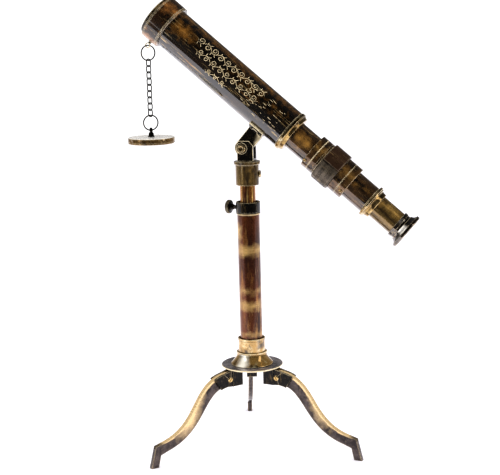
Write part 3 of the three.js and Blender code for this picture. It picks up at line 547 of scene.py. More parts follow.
def turning_marks_group():
    """The fine rings that a lathe tool leaves, and small pits."""
    tree, given, made = effect_group("turning marks", {"Pitch": 2500, "Pits": 500}, ["Rings", "Pits"])
    place = held(tree, "spot", "Vector")
    apart = add_node(tree, "ShaderNodeSeparateXYZ")
    tree.links.new(place, apart.inputs[0])
    x, y, z = apart.outputs
    squares = arithmetic(tree, "ADD", product(tree, x, x), product(tree, y, y))
    radius = arithmetic(tree, "POWER", squares, 0.5)
    pitch = given.outputs["Pitch"]
    lathe = vector(tree, x=product(tree, radius, pitch), z=product(tree, z, pitch))
    tree.links.new(noise(tree, lathe, 2), made.inputs["Rings"])
    pits = add_node(tree, "ShaderNodeTexVoronoi")
    tree.links.new(place, pits.inputs["Vector"])
    tree.links.new(given.outputs["Pits"], pits.inputs["Scale"])
    tree.links.new(spread(tree, pits.outputs["Distance"], 0.05, 0.22), made.inputs["Pits"])
    return tree


STREAKS = streaks_group()
SCRATCHES = scratches_group()
WORN_EDGES = worn_edges_group()
TURNING_MARKS = turning_marks_group()


# ---------------------------------------------------------------- finishes

# The first colour lies on outer corners as edge wear and painted highlight; the last darkens inner corners and
# recesses.
CREAM = (0.95, 0.80, 0.52)
PALE_GOLD = (0.86, 0.60, 0.26)
SOOT = (0.012, 0.008, 0.006)


def new_material(name):
    material = bpy.data.materials.new(name)
    material.use_nodes = True
    return material, material.node_tree, material.node_tree.nodes["Principled BSDF"]


class Brass:
    """One aged brass finish: its colours, from tarnish to bright metal, and how they lie."""

    def __init__(self, name, dark, body, bright, **changes):
        self.name, self.dark, self.body, self.bright = name, dark, body, bright
        # The edge colour paints worn edges and highlights; the rub colour paints rubbed places and sheen.
        self.edge, self.rubbed, self.seed = CREAM, PALE_GOLD, 0.0
        self.patch = dict(Scale=90, Stretch=4, From=0.42, To=0.62)
        self.glow = dict(Scale=150, Stretch=7, From=0.56, To=0.72)
        self.scratch = dict(Scale=1100, Stretch=16, From=0.6, To=0.68)
        self.wear, self.broken, self.scratch_share = 1.0, 1.0, 0.4
        # Edge and rub colour give up metal by these shares, so that the painted highlights and sheen show bright.
        self.metal, self.edge_scuff, self.rub_scuff = 1.0, 0.65, 0.25
        self.roughness = (0.2, 0.38)
        self.coat, self.coat_ior, self.coat_roughness = 0.35, 1.5, 0.1
        self.pitch, self.pits, self.bump = 2600, 420, 0.12
        for key, value in changes.items():
            setattr(self, key, value)

    def made(self):
        material, tree, shader = new_material(self.name)
        patch = group_node(tree, STREAKS, Seed=self.seed, **self.patch).outputs["Mask"]
        glow = group_node(tree, STREAKS, Seed=self.seed + 7.3, **self.glow).outputs["Mask"]
        scratch = group_node(tree, SCRATCHES, Seed=self.seed + 3.1, **self.scratch).outputs["Mask"]
        worn = group_node(tree, WORN_EDGES, Seed=self.seed + 1.7, Wear=self.wear, Break=self.broken).outputs
        marks = group_node(tree, TURNING_MARKS, Pitch=self.pitch, Pits=self.pits).outputs
        self.colour(tree, shader, patch, glow, scratch, worn)
        self.gloss(tree, shader, patch, marks)
        self.relief(tree, shader, scratch, marks)
        self.scuffs(tree, shader, worn)
        shader.inputs["Coat Weight"].default_value = self.coat
        shader.inputs["Coat IOR"].default_value = self.coat_ior
        shader.inputs["Coat Roughness"].default_value = self.coat_roughness
        return material

    def colour(self, tree, shader, patch, glow, scratch, worn):
        """Tarnish, patches, bright streaks, rub colour (rubbed places and painted sheen), scratches, edge colour (worn
        edges and painted highlight) and darkened recesses, one over another.
        """
        colour = blend_colour(tree, patch, self.dark, self.body)
        for share, over in ((glow, self.bright), (worn["Rubbed"], self.rubbed),
                            (product(tree, scratch, self.scratch_share), PALE_GOLD),
                            (worn["Wear"], self.edge), (worn["Grime"], SOOT)):
            colour = blend_colour(tree, share, colour, over)
        tree.links.new(colour, shader.inputs["Base Color"])

    def gloss(self, tree, shader, patch, marks):
        """Smoother where the tarnish has worn off."""
        mixed = product(tree, marks["Rings"], arithmetic(tree, "SUBTRACT", 1.25, patch))
        tree.links.new(spread(tree, mixed, 0.1, 0.8, *self.roughness), shader.inputs["Roughness"])

    def relief(self, tree, shader, scratch, marks):
        """Lathe rings and pits, with the scratches cut in."""
        height = arithmetic(tree, "ADD", product(tree, marks["Rings"], 0.35), product(tree, marks["Pits"], 0.3))
        height = arithmetic(tree, "ADD", height, product(tree, scratch, -0.4))
        bump = add_node(tree, "ShaderNodeBump")
        bump.inputs["Strength"].default_value = self.bump
        bump.inputs["Distance"].default_value = 0.0002
        tree.links.new(height, bump.inputs["Height"])
        tree.links.new(bump.outputs[0], shader.inputs["Normal"])

    def scuffs(self, tree, shader, worn):
        """Less metal on worn edges and rubbed places, and on the painted highlights and sheen laid in their colours,
        so that these show bright whatever they mirror.
        """
        scuffed = arithmetic(tree, "MAXIMUM", product(tree, worn["Wear"], self.edge_scuff),
                             product(tree, worn["Rubbed"], self.rub_scuff))
        tree.links.new(spread(tree, scuffed, 0.0, 1.0, self.metal, 0.0), shader.inputs["Metallic"])


def lens_glass():
    material, tree, shader = new_material("lens glass")
    shader.inputs["Base Color"].default_value = (0.93, 0.97, 0.95, 1)
    shader.inputs["Transmission Weight"].default_value = 1
    shader.inputs["IOR"].default_value = 1.5
    dust = group_node(tree, STREAKS, Scale=160, Stretch=1, From=0.5, To=0.75, Seed=4.0)
    tree.links.new(spread(tree, dust.outputs["Mask"], 0, 1, 0.01, 0.05), shader.inputs["Roughness"])
    return material


tube_brass = Brass(
    "smoked tube brass", (0.007, 0.0045, 0.003), (0.045, 0.021, 0.008), (0.36, 0.17, 0.04),
    patch=dict(Scale=85, Stretch=5, From=0.48, To=0.68), glow=dict(Scale=210, Stretch=11, From=0.61, To=0.74),
    scratch=dict(Scale=900, Stretch=18, From=0.58, To=0.66), scratch_share=0.75,
    rubbed=(0.42, 0.19, 0.035), metal=0.8,
    roughness=(0.16, 0.3), coat=1.0, coat_ior=2.0, coat_roughness=0.07).made()
inner_tube_brass = Brass(
    "smoked draw tube brass", (0.016, 0.009, 0.005), (0.12, 0.06, 0.02), (0.55, 0.3, 0.08),
    patch=dict(Scale=130, Stretch=5, From=0.4, To=0.62), glow=dict(Scale=260, Stretch=8, From=0.6, To=0.73),
    rubbed=(0.5, 0.26, 0.06), metal=0.7,
    roughness=(0.16, 0.3), coat=1.0, coat_ior=1.8, coat_roughness=0.07, seed=5.0).made()
band_brass = Brass(
    "brown ring brass", (0.024, 0.012, 0.005), (0.14, 0.07, 0.022), (0.5, 0.3, 0.09),
    patch=dict(Scale=120, Stretch=1.4, From=0.4, To=0.62), glow=dict(Scale=300, Stretch=2, From=0.58, To=0.75),
    rubbed=(0.52, 0.29, 0.08), roughness=(0.16, 0.32), metal=0.75,
    coat=0.8, coat_ior=1.7, seed=11.0).made()
bezel_brass = Brass(
    "brown bezel brass", (0.016, 0.008, 0.004), (0.075, 0.032, 0.01), (0.3, 0.13, 0.03),
    patch=dict(Scale=70, Stretch=1.2, From=0.44, To=0.66), glow=dict(Scale=120, Stretch=1.5, From=0.58, To=0.76),
    rubbed=(0.5, 0.21, 0.05), metal=0.75, coat=0.8, coat_ior=1.9, seed=15.0).made()
gold_brass = Brass(
    "gold ring brass", (0.1, 0.055, 0.018), (0.66, 0.44, 0.16), (0.99, 0.88, 0.58),
    patch=dict(Scale=90, Stretch=1, From=0.36, To=0.66), glow=dict(Scale=170, Stretch=1, From=0.52, To=0.74),
    edge_scuff=0.35, rub_scuff=0.1, roughness=(0.1, 0.22), coat=0.3, seed=19.0).made()
black_brass = Brass(
    "blackened brass", (0.006, 0.005, 0.004), (0.016, 0.012, 0.009), (0.11, 0.062, 0.025),
    patch=dict(Scale=200, Stretch=1, From=0.45, To=0.66), glow=dict(Scale=420, Stretch=1, From=0.66, To=0.8),
    roughness=(0.26, 0.44), coat=0.6, coat_ior=1.7, seed=23.0).made()
chain_brass = Brass(
    "blackened chain brass", (0.005, 0.004, 0.004), (0.012, 0.009, 0.007), (0.1, 0.06, 0.03),
    patch=dict(Scale=400, Stretch=1, From=0.42, To=0.62), glow=dict(Scale=700, Stretch=1, From=0.62, To=0.76),
    wear=0.0, roughness=(0.35, 0.5), coat=0.1, seed=27.0).made()
bracket_brass = Brass(
    "blackened bracket brass", (0.006, 0.005, 0.004), (0.016, 0.012, 0.009), (0.11, 0.062, 0.025),
    patch=dict(Scale=200, Stretch=1, From=0.45, To=0.66), glow=dict(Scale=420, Stretch=1, From=0.62, To=0.78),
    wear=0.5, roughness=(0.26, 0.44), coat=0.4, seed=29.0).made()
knurl_brass = Brass(
    "knurled grey brass", (0.03, 0.023, 0.017), (0.085, 0.064, 0.046), (0.24, 0.18, 0.12),
    patch=dict(Scale=160, Stretch=1, From=0.4, To=0.62), glow=dict(Scale=500, Stretch=1, From=0.6, To=0.76),
    wear=0.3, edge=(0.6, 0.5, 0.36), metal=0.75, rub_scuff=0.0, roughness=(0.26, 0.44), coat=0.25, seed=31.0,
    rubbed=(0.08, 0.042, 0.023), pitch=1200).made()
column_brass = Brass(
    "brown column brass", (0.036, 0.011, 0.006), (0.15, 0.043, 0.014), (0.42, 0.19, 0.055),
    patch=dict(Scale=60, Stretch=5, From=0.38, To=0.62), glow=dict(Scale=190, Stretch=7, From=0.54, To=0.74),
    rubbed=(0.6, 0.39, 0.14), rub_scuff=0.5, broken=0.7, metal=0.75,
    coat=0.5, coat_ior=1.5, seed=37.0).made()
mast_brass = Brass(
    "copper mast brass", (0.07, 0.022, 0.006), (0.42, 0.17, 0.035), (0.98, 0.66, 0.22),
    patch=dict(Scale=230, Stretch=16, From=0.43, To=0.57), glow=dict(Scale=380, Stretch=22, From=0.54, To=0.66),
    metal=0.8, coat=0.5, seed=41.0).made()
collar_brass = Brass(
    "olive collar brass", (0.045, 0.026, 0.009), (0.24, 0.15, 0.045), (0.55, 0.37, 0.13),
    patch=dict(Scale=150, Stretch=6, From=0.4, To=0.6), glow=dict(Scale=300, Stretch=5, From=0.56, To=0.74),
    rubbed=(0.5, 0.3, 0.08), metal=0.75, coat=0.7, coat_ior=1.8, seed=43.0).made()
# Its near-white rub colour paints a reflection on the cup.
base_brass = Brass(
    "silvered base brass", (0.03, 0.02, 0.012), (0.5, 0.3, 0.09), (0.92, 0.76, 0.44),
    patch=dict(Scale=60, Stretch=1, From=0.36, To=0.5), glow=dict(Scale=100, Stretch=1, From=0.54, To=0.7),
    rubbed=(0.98, 0.93, 0.8), rub_scuff=0.6, broken=0.5, metal=0.75, roughness=(0.1, 0.24), coat=0.6, coat_ior=1.8, seed=47.0).made()
plate_brass = Brass(
    "grey plate brass", (0.07, 0.062, 0.068), (0.3, 0.27, 0.285), (0.62, 0.55, 0.5),
    patch=dict(Scale=60, Stretch=1, From=0.36, To=0.6), glow=dict(Scale=260, Stretch=1, From=0.6, To=0.76),
    rubbed=(0.9, 0.76, 0.5), rub_scuff=0.5, metal=0.6, roughness=(0.16, 0.3), coat=0.2, seed=53.0).made()
leg_brass = Brass(
    "cast leg brass", (0.03, 0.023, 0.022), (0.1, 0.078, 0.072), (0.24, 0.17, 0.12),
    patch=dict(Scale=90, Stretch=1, From=0.38, To=0.62), glow=dict(Scale=420, Stretch=1, From=0.58, To=0.8),
    wear=0.35, edge=(0.7, 0.55, 0.34), rubbed=(0.86, 0.62, 0.32), rub_scuff=0.5, broken=0.45, scratch_share=0.08,
    roughness=(0.2, 0.36), coat=0.5, seed=59.0, pitch=900, pits=260, bump=0.3).made()
engraved_brass = Brass(
    "engraved line brass", (0.4, 0.26, 0.1), (0.8, 0.6, 0.32), (0.95, 0.85, 0.6),
    patch=dict(Scale=300, Stretch=1, From=0.38, To=0.52), glow=dict(Scale=800, Stretch=1, From=0.46, To=0.64),
    wear=0.8, edge=(0.9, 0.74, 0.46), edge_scuff=0.7, roughness=(0.3, 0.45), coat=0.1, seed=61.0).made()
# Its near-white rub colour paints the light on the cap's top.
cap_brass = Brass(
    "cap brass", (0.06, 0.034, 0.012), (0.29, 0.17, 0.055), (0.7, 0.5, 0.24),
    patch=dict(Scale=110, Stretch=1, From=0.36, To=0.6), glow=dict(Scale=260, Stretch=1, From=0.55, To=0.72),
    rubbed=(0.93, 0.9, 0.86), rub_scuff=0.75, metal=0.75, roughness=(0.12, 0.26), coat=0.3, seed=67.0).made()
# Its near-white rub colour paints the flare's highlight.
eyecup_brass = Brass(
    "polished eyecup brass", (0.014, 0.009, 0.006), (0.11, 0.065, 0.028), (0.42, 0.28, 0.12),
    patch=dict(Scale=110, Stretch=1, From=0.38, To=0.58), glow=dict(Scale=160, Stretch=1, From=0.6, To=0.74),
    rubbed=(0.97, 0.93, 0.86), rub_scuff=0.9, broken=0.3, roughness=(0.06, 0.16), coat=1.0, coat_ior=2.2,
    coat_roughness=0.03, bump=0.04, seed=71.0).made()
glass = lens_glass()


# ---------------------------------------------------------------- making pieces

def turned(name, node, outline, place, body, material, finish, sides=ROUND, step=None, ripple=None, polish=None):
    """A turned piece from its (radius, height, corner radius) outline, standing for one or more CAD nodes."""
    closed = outline[0][0] > 0
    points = soften(outline, closed)
    if step:
        points = divided(points, step, closed)
    mesh = spin(new_mesh(), points, sides, closed, ripple)
    nodes = [node] if isinstance(node, str) else node
    return finished(name, mesh, place, body, material, nodes, polish)


def slotted_screw(name, node, place, body, material, finish, head, crown, slot, angle):
    """A round head with a domed top and a straight driver's slot, on a plain shank."""
    ends = Ends(node, place)
    top, shank, reach = ends.high, ends.outer * 0.62, ends.outer + 1
    piece = turned(name, node, [
        (0, ends.low), (shank, ends.low), (shank, top - head), (ends.outer, top - head, 0.15),
        (ends.outer, top - crown, 0.25), (ends.outer * 0.72, top - crown * 0.25, 0.5), (0, top),
    ], place, body, material, finish, sides=SMALL_ROUND)

    def driver_slot(mesh):
        box(mesh, (-reach, reach), (-slot / 2, slot / 2), (top - head * 0.55, top + 1))
        bmesh.ops.transform(mesh, matrix=Matrix.Rotation(angle, 4, "Z"), verts=mesh.verts)

    return flat_faces(cut(piece, driver_slot), 40)


def lens_piece(name, node, place, body, count=10):
    """A lens with two bulging faces, the front one fuller, and a plain rim."""
    ends = Ends(node, place)
    rim = 0.72 * (ends.high - ends.low)
    low, high = ends.low + (ends.high - ends.low - rim) * 0.62, ends.high - (ends.high - ends.low - rim) * 0.38
    shares = [i / count for i in range(count + 1)]
    front = [(ends.outer * share, low - (low - ends.low) * (1 - share ** 2), 0) for share in shares]
    back = [(ends.outer * share, high + (ends.high - high) * (1 - share ** 2), 0) for share in shares]
    turned(name, node, front + back[::-1], place, body, glass, "glass", sides=MIDDLE_ROUND)


def bump_between(value, low, high, soft):
    """1 between two values and 0 outside, with soft ends."""
    rise = min(1.0, max(0.0, (value - low) / soft + 0.5))
    fall = min(1.0, max(0.0, (high - value) / soft + 0.5))
    return min(rise, fall)


def signed(degrees):
    """The same direction, between -180 and 180 degrees."""
    return (degrees + 180) % 360 - 180


def toward(x, y):
    """The direction in degrees in which a spot of a turned piece faces."""
    return math.degrees(math.atan2(y, x))


def facing(x, y, degrees, width):
    """1 on the side of a turned piece that faces an angle, falling to 0 a width away."""
    return max(0.0, 1 - abs(signed(toward(x, y) - degrees)) / width)


# ---------------------------------------------------------------- objective and main tube

def groove(radius, start, depth, floor=0.4, slope=0.2, corner=0.15):
    """The outline of a shallow line turned round a piece."""
    return [(radius, start, corner), (radius - depth, start + slope, 0.1),
            (radius - depth, start + slope + floor, 0.1), (radius, start + 2 * slope + floor, corner)]


def make_lip_ring():
    lip = Ends("objective_lip_ring", OPTICS)
    lip_end, spigot = Ends("objective_bezel", OPTICS).low - GAP, lip.inner + 2.1
    turned("lip_ring", "objective_lip_ring", [
        (lip.inner, 1.0, 0.4), (lip.inner + 1.4, 0, 0.4), (lip.outer - 1.9, 0, 0.5), (lip.outer - 1.5, 0.5, 0.2),
        (lip.outer - 0.7, 0.5, 0.2), (lip.outer, 1.2, 0.5), (lip.outer, lip_end, 0.25),
        (spigot, lip_end, 0.1), (spigot, lip.high, 0.2), (lip.inner, lip.high, 0.2), (lip.inner, 5.4, 0.1),
        (lip.inner + 0.4, 5.2, 0.1), (lip.inner + 0.4, 4.6, 0.1), (lip.inner, 4.4, 0.1),
    ], OPTICS, "telescope", black_brass, "patina_brass", polish=lambda x, y, z: 0.55 * facing(x, y, 60, 50))


def make_bezel():
    bezel, tube = Ends("objective_bezel", OPTICS), Ends("main_tube", OPTICS)
    outer, seat = bezel.outer, tube.outer + GAP
    cell = Ends("objective_lip_ring", OPTICS).inner + 2.4
    turned("bezel", "objective_bezel", [
        (cell, bezel.low), (outer - 0.5, bezel.low, 0.2), (outer, bezel.low + 0.6, 0.35),
        *groove(outer, bezel.low + 1.7, 0.3), *groove(outer, bezel.high - 3.0, 0.3),
        (outer, bezel.high - 0.9, 0.35), (outer - 0.9, bezel.high, 0.35), (seat, bezel.high, 0.1),
        (seat, tube.low - GAP, 0.1), (bezel.inner, tube.low - GAP), (bezel.inner, tube.low - 2.6),
        (cell, tube.low - 2.6),
    ], OPTICS, "telescope", bezel_brass, "brown_brass", step=2.5,
        polish=lambda x, y, z: 0.6 * facing(x, y, 40, 34) + 0.75 * facing(x, y, 150, 28))


def make_main_tube():
    tube = Ends("main_tube", OPTICS)

    # Rub colour on the upper front near the objective end, along the top side and on the upper front of the middle.
    def rubbed(x, y, z):
        upper_front = 0.78 * bump_between(z, 30, 62, 22) * facing(x, y, 62, 40)
        upper_side = 0.5 * facing(x, y, 14, 30)
        middle = 0.34 * bump_between(z, 120, 205, 30) * facing(x, y, 55, 45)
        return max(upper_front, upper_side, middle)

    turned("main_barrel", "main_tube", [
        (tube.inner, tube.low), (tube.outer, tube.low), (tube.outer, tube.high, 0.2), (tube.inner, tube.high, 0.2),
    ], OPTICS, "telescope", tube_brass, "patina_brass", step=4, polish=rubbed)


def make_rear_flange():
    flange = Ends("rear_flange", OPTICS)
    start, radius = flange.high - 9.2, flange.outer
    spigot = Ends("main_tube", OPTICS).inner - GAP
    turned("rear_flange_ring", "rear_flange", [
        (flange.inner, flange.low), (spigot, flange.low), (spigot, start, 0.1), (radius - 0.6, start, 0.2),
        (radius, start + 0.7, 0.5), (radius, start + 3.9, 0.7), (radius - 0.9, start + 4.9, 0.3),
        (radius - 1.4, start + 5.1, 0.1), (radius - 1.7, start + 5.6, 0.15), (radius - 3.0, flange.high - 0.5, 0.4),
        (radius - 3.6, flange.high, 0.3), (flange.inner, flange.high, 0.3),
    ], OPTICS, "telescope", gold_brass, "gold_brass")


SCROLL_RISE = 0.06        # height of an engraved line's bright lips over the tube
SCROLL_ROOT = -0.02       # how far its sides go into the tube
SCROLL_WAVE = 21.0        # length of one wave of a vine


def ribbon(mesh, path, widths, radius, rise=SCROLL_RISE):
    """A raised line laid along a tube, from (turn in millimetres, station) points."""
    rings = []
    for i, point in enumerate(path):
        along = (path[min(i + 1, len(path) - 1)] - path[max(i - 1, 0)]).normalized()
        across = Vector((-along.y, along.x))
        ring = []
        for side, lift in ((-1, SCROLL_ROOT), (-0.45, rise), (0.45, rise), (1, SCROLL_ROOT)):
            spot = point + across * side * widths[i] / 2
            angle, reach = spot.x / radius, radius + lift
            ring.append(mesh.verts.new(Vector((math.cos(angle) * reach, math.sin(angle) * reach, spot.y)) * MM))
        rings.append(ring)
    for first, second in zip(rings, rings[1:]):
        bridge(mesh, first, second)
    mesh.faces.new(rings[0])
    mesh.faces.new(rings[-1])


def curl(centre, radius, start, turns, hand, count=26):
    """A spiral that winds in to its middle."""
    points = []
    for i in range(count + 1):
        share = i / count
        angle = start + hand * share * turns * 2 * math.pi
        reach = radius * (1 - 0.82 * share)
        points.append(Vector((centre[0] + reach * math.cos(angle), centre[1] + reach * math.sin(angle))))
    return points


def tapered(count, widest, least=0.25):
    """Widths along a line that is widest in its middle."""
    return [least + (widest - least) * math.sin(math.pi * (i + 0.5) / count) ** 0.7 for i in range(count)]


def leaf(root, tip):
    """A short bowed line from a stem."""
    return [root.lerp(tip, k / 6) + Vector((0.35 * math.sin(math.pi * k / 6), 0)) for k in range(7)]


def scroll_row(mesh, radius, turn, first, last, height, seed):
    """A vine: a waving stem, with a curl in each wave and small leaves."""
    draw = random.Random(seed)
    middle = math.radians(turn) * radius
    count = int((last - first) / 1.2)
    stem = []
    for i in range(count + 1):
        station = first + (last - first) * i / count
        sway = 0.3 * height * math.sin(2 * math.pi * (station - first) / SCROLL_WAVE)
        stem.append(Vector((middle + sway, station)))
    ribbon(mesh, stem, tapered(len(stem), 0.75), radius)
    station, hand = first + SCROLL_WAVE / 4, 1
    while station < last - 3:
        size = height * draw.uniform(0.36, 0.44)
        centre = (middle - hand * height * 0.12, station + draw.uniform(-0.6, 0.6))
        path = curl(centre, size, math.pi / 2 * (1 - hand) + 0.5, 1.35, hand)
        ribbon(mesh, path, tapered(len(path), 0.85), radius)
        for lean in (-0.7, 0.5):
            root = Vector((middle + hand * height * 0.3, station + lean * 3.4))
            tip = root + Vector((hand * height * draw.uniform(0.22, 0.34), lean * 2.2 + 1.6))
            ribbon(mesh, leaf(root, tip), tapered(7, 1.0, 0.2), radius)
        station += SCROLL_WAVE / 2
        hand = -hand


def scattered_dashes(mesh, radius, count, seed):
    """Short nicks near the eyepiece end of the tube."""
    draw = random.Random(seed)
    for _ in range(count):
        station = draw.uniform(145, 208)
        turn = math.radians(draw.uniform(38, 112)) * radius
        length = draw.uniform(1.6, 5.5)
        path = [Vector((turn, station + length * k / 4)) for k in range(5)]
        ribbon(mesh, path, tapered(5, draw.uniform(0.4, 0.8), 0.15), radius, 0.04)


def make_engraving():
    """Rows of scrollwork on the side of the tube: middle in degrees, first and last station, height, seed."""
    radius = Ends("main_tube", OPTICS).outer
    mesh = new_mesh()
    for row in ((48, 64, 170, 10, 5), (76, 72, 168, 8.5, 8), (101, 94, 128, 6, 12)):
        scroll_row(mesh, radius, *row)
    scattered_dashes(mesh, radius, 44, 21)
    finished("engraved_scroll", mesh, OPTICS, "telescope", engraved_brass)


def make_chain_lug():
    """A flanged stud with an eye on its end, which hangs the lug ring."""
    place = screw_place("chain_lug", OPTICS)
    heights = [point.z for point in local_points("chain_lug", place)]
    low, top = min(heights), max(heights)
    outer, hole, half = 3.4, 2.2, 0.7
    mesh = spin(new_mesh(), soften([
        (0, low), (2.75, low, 0.1), (2.75, low + 0.9, 0.2), (1.9, low + 1.5, 0.3), (1.7, top - 6.5, 0.3),
        (0.6, top - 2 * outer + 0.8, 0.1), (0, top - 2 * outer + 0.9),
    ], closed=False), SMALL_ROUND, closed=False)
    eye = spin(new_mesh(), soften([
        (hole, -half, 0.45), (outer, -half, 0.45), (outer, half, 0.45), (hole, half, 0.45),
    ]), SMALL_ROUND)
    across = place.inverted().to_3x3() @ PIVOT_AXIS
    joined(mesh, eye, placed(UP, across, Vector((0, 0, top - outer)) * MM))
    finished("chain_eye", mesh, place, "telescope", black_brass, ["chain_lug"])


# ---------------------------------------------------------------- saddle, arm and pivot

def make_saddle():
    """A curved plate wrapped round the underside of the tube."""
    strap = Ends("saddle_strap", OPTICS)
    inner, wrap, count = Ends("main_tube", OPTICS).outer + GAP, 43, 34
    around = arc((0, 0), strap.outer, 180 - wrap, 180 + wrap, count)
    around += arc((0, 0), inner, 180 + wrap, 180 - wrap, count)
    mesh = slab(new_mesh(), [Vector(point[:2]) for point in around], strap.low, strap.high, 0.4)
    finished("saddle", mesh, OPTICS, "telescope", black_brass, ["saddle_strap"])
    for number, word in enumerate(("near", "far")):
        node = f"saddle_screw_{word}"
        slotted_screw(f"saddle_{word}_screw", node, screw_place(node, OPTICS), "telescope",
                      black_brass, "black_brass", head=1.7, crown=1.0, slot=0.9, angle=0.6 + number)


def make_arm():
    """The flat arm from the saddle to the pivot, with a round end at the pivot and a hollow for the strap."""
    place = placed(OPTICS.to_3x3() @ UP, PIVOT_AXIS, joint("telescope_tilt")["pos_m"])
    points = local_points("saddle_arm", place)
    half, thick = max(point.x for point in points), max(point.z for point in points)
    low, high = min(point.y for point in points), max(point.y for point in points)
    side = 1 if abs(high) > abs(low) else -1
    end = side * (max(abs(high), abs(low)) - 0.05)
    outline = [(half, end, 0.3), (-half, end, 0.3), (-half, 0, 0)]
    outline += arc((0, 0), half, 180, 180 + side * 180, 40)[1:-1] + [(half, 0, 0)]
    mesh = slab(new_mesh(), soften(outline), -thick, thick, 0.5)
    arm = finished("arm", mesh, place, "telescope", black_brass, ["saddle_arm"])
    radius = Ends("saddle_strap", OPTICS).outer + GAP
    to_tube = place.inverted() @ OPTICS
    beside = Matrix.Translation((0, 0, to_tube.inverted().to_translation().z))

    def strap_space(mesh):
        spin(mesh, [Vector((0, -30)), Vector((radius, -30)), Vector((radius, 30)), Vector((0, 30))], 128, closed=False)
        bmesh.ops.transform(mesh, matrix=to_tube @ beside, verts=mesh.verts)

    flat_faces(cut(arm, strap_space), 35)


def make_pivot():
    """The shouldered bolt, its washer and its nut."""
    bolt, washer, nut = (Ends(node, PIVOT) for node in ("pivot_bolt", "pivot_washer", "pivot_nut"))
    shaft, face, shoulder = washer.inner - GAP, bolt.low, washer.low - GAP
    dimple = 2.6
    turned("pivot_bolt_head", "pivot_bolt", [
        (0, face + 1.5), (2.0, face + 1.5, 0.2), (dimple, face + 1.2, 0.3), (3.3, face, 0.35),
        (bolt.outer - 0.7, face, 0.4), (bolt.outer, face + 0.8, 0.4), (bolt.outer, shoulder, 0.3),
        (shaft, shoulder, 0.1), (shaft, bolt.high - 0.6, 0.2), (shaft - 0.6, bolt.high, 0.2),
        (0, bolt.high),
    ], PIVOT, "head", gold_brass, "gold_brass", sides=MIDDLE_ROUND,
        polish=lambda x, y, z: -1.0 if math.hypot(x, y) < dimple and z < face + 2 else 0.3)
    turned("pivot_spacer", "pivot_washer", [
        (washer.inner, washer.low), (washer.outer, washer.low, 0.35), (washer.outer, washer.high, 0.35),
        (washer.inner, washer.high),
    ], PIVOT, "head", black_brass, "black_brass", sides=MIDDLE_ROUND)
    mesh = slab(new_mesh(), hexagon(nut.outer, 0.4), nut.low, nut.high, 0.5)
    finished("pivot_hexagon", mesh, PIVOT, "head", black_brass, ["pivot_nut"])


# ---------------------------------------------------------------- draw tube and focuser

def handled(x, y, z):
    """Painted sheen on the upper front of the focuser's rings."""
    return 0.4 * facing(x, y, 58, 50)


def make_draw_tube():
    """The draw tube with its stop collar, and the erector lens inside it."""
    tube = Ends("draw_tube", OPTICS)
    slides, collar = Ends("rear_flange", OPTICS).inner - GAP, tube.low + 4
    turned("draw_barrel", "draw_tube", [
        (tube.inner, tube.low), (tube.outer, tube.low, 0.2), (tube.outer, collar, 0.2), (slides, collar),
        (slides, tube.high), (tube.inner, tube.high),
    ], OPTICS, "draw", inner_tube_brass, "patina_brass", step=3,
        polish=lambda x, y, z: 0.75 * bump_between(z, 226, 250, 12) * facing(x, y, 72, 50))
    lens_piece("erector_glass", "erector_lens", OPTICS, "draw")


def make_focuser_bands():
    """The two end rings and the sleeve between them, which carry the focus ring."""
    front, sleeve, grip, rear = (Ends(node, OPTICS) for node in
                                 ("front_end_ring", "focus_sleeve", "focus_ring", "rear_end_ring"))
    radius, bore = front.outer, sleeve.inner
    look = (OPTICS, "draw", band_brass, "brown_brass")
    socket = (front.inner + 2.3, front.high - 3.9)
    turned("front_band", "front_end_ring", [
        (front.inner, front.low), (radius - 0.4, front.low, 0.2), (radius, front.low + 0.5, 0.3),
        (radius, front.high, 0.25), (socket[0], front.high), socket, (front.inner, socket[1]),
    ], *look, step=2, polish=handled)
    start, end = front.high + GAP, grip.low - GAP
    turned("sleeve_band", "focus_sleeve", [
        (bore, sleeve.low), (bore + 2, sleeve.low), (bore + 2, start), (radius, start, 0.25),
        *groove(radius, start + 6.2, 0.25, corner=0.12), (radius, end, 0.3),
        (bore + 2.4, end), (bore + 2.4, sleeve.high), (bore, sleeve.high),
    ], *look, step=2, polish=handled)
    start, middle = grip.high + GAP, rear.high - 9.7
    turned("rear_band", "rear_end_ring", [
        (rear.inner, rear.low), (bore + 2.7, rear.low), (bore + 2.7, start),
        (radius - 0.3, start, 0.15), (radius, start + 0.4, 0.2), (radius, middle - 0.35, 0.2),
        (radius - 0.55, middle, 0.12), (radius, middle + 0.35, 0.25), (radius, rear.high - 0.5, 0.3),
        (radius - 0.4, rear.high, 0.25), (rear.inner, rear.high),
    ], *look, step=2, polish=handled)
    for word in ("front", "rear"):
        node = f"{word}_ring_screw"
        slotted_screw(f"{word}_band_screw", node, screw_place(node, OPTICS), "draw",
                      gold_brass, "gold_brass", head=1.0, crown=0.6, slot=0.7, angle=0.4)


def make_focus_ring():
    """The grip: a fine diamond knurl, with a smooth brown panel between two grooves."""
    ring = Ends("focus_ring", OPTICS)
    radius, low, high = ring.outer, ring.low + 1.7, ring.high - 1.7
    teeth, depth = 96, 0.34
    panel = (-78, 76)

    def knurl(at, height, angle):
        turn = signed(math.degrees(angle))
        if at < radius - 0.2:
            return 0
        if min(abs(turn - side) for side in panel) < 2.2:
            return -0.75
        if panel[0] < turn < panel[1]:
            return -0.16
        if not low < height < high:
            return -0.1
        helix = teeth * (height - low) / radius
        first = abs(((teeth * angle + helix) / (2 * math.pi)) % 1 - 0.5)
        second = abs(((teeth * angle - helix) / (2 * math.pi)) % 1 - 0.5)
        return -depth * 2 * max(first, second) * 0.9

    turned("focus_grip", "focus_ring", [
        (ring.inner, ring.low), (radius - 0.9, ring.low, 0.2), (radius, ring.low + 0.9, 0.3),
        (radius, ring.high - 0.9, 0.3), (radius - 0.9, ring.high, 0.2), (ring.inner, ring.high),
    ], OPTICS, "focus_ring", knurl_brass, "knurled_brass", sides=384, step=0.42, ripple=knurl,
        polish=lambda x, y, z: 1.0 if panel[0] + 2 < toward(x, y) < panel[1] - 2 else 0)


# ---------------------------------------------------------------- eyepiece

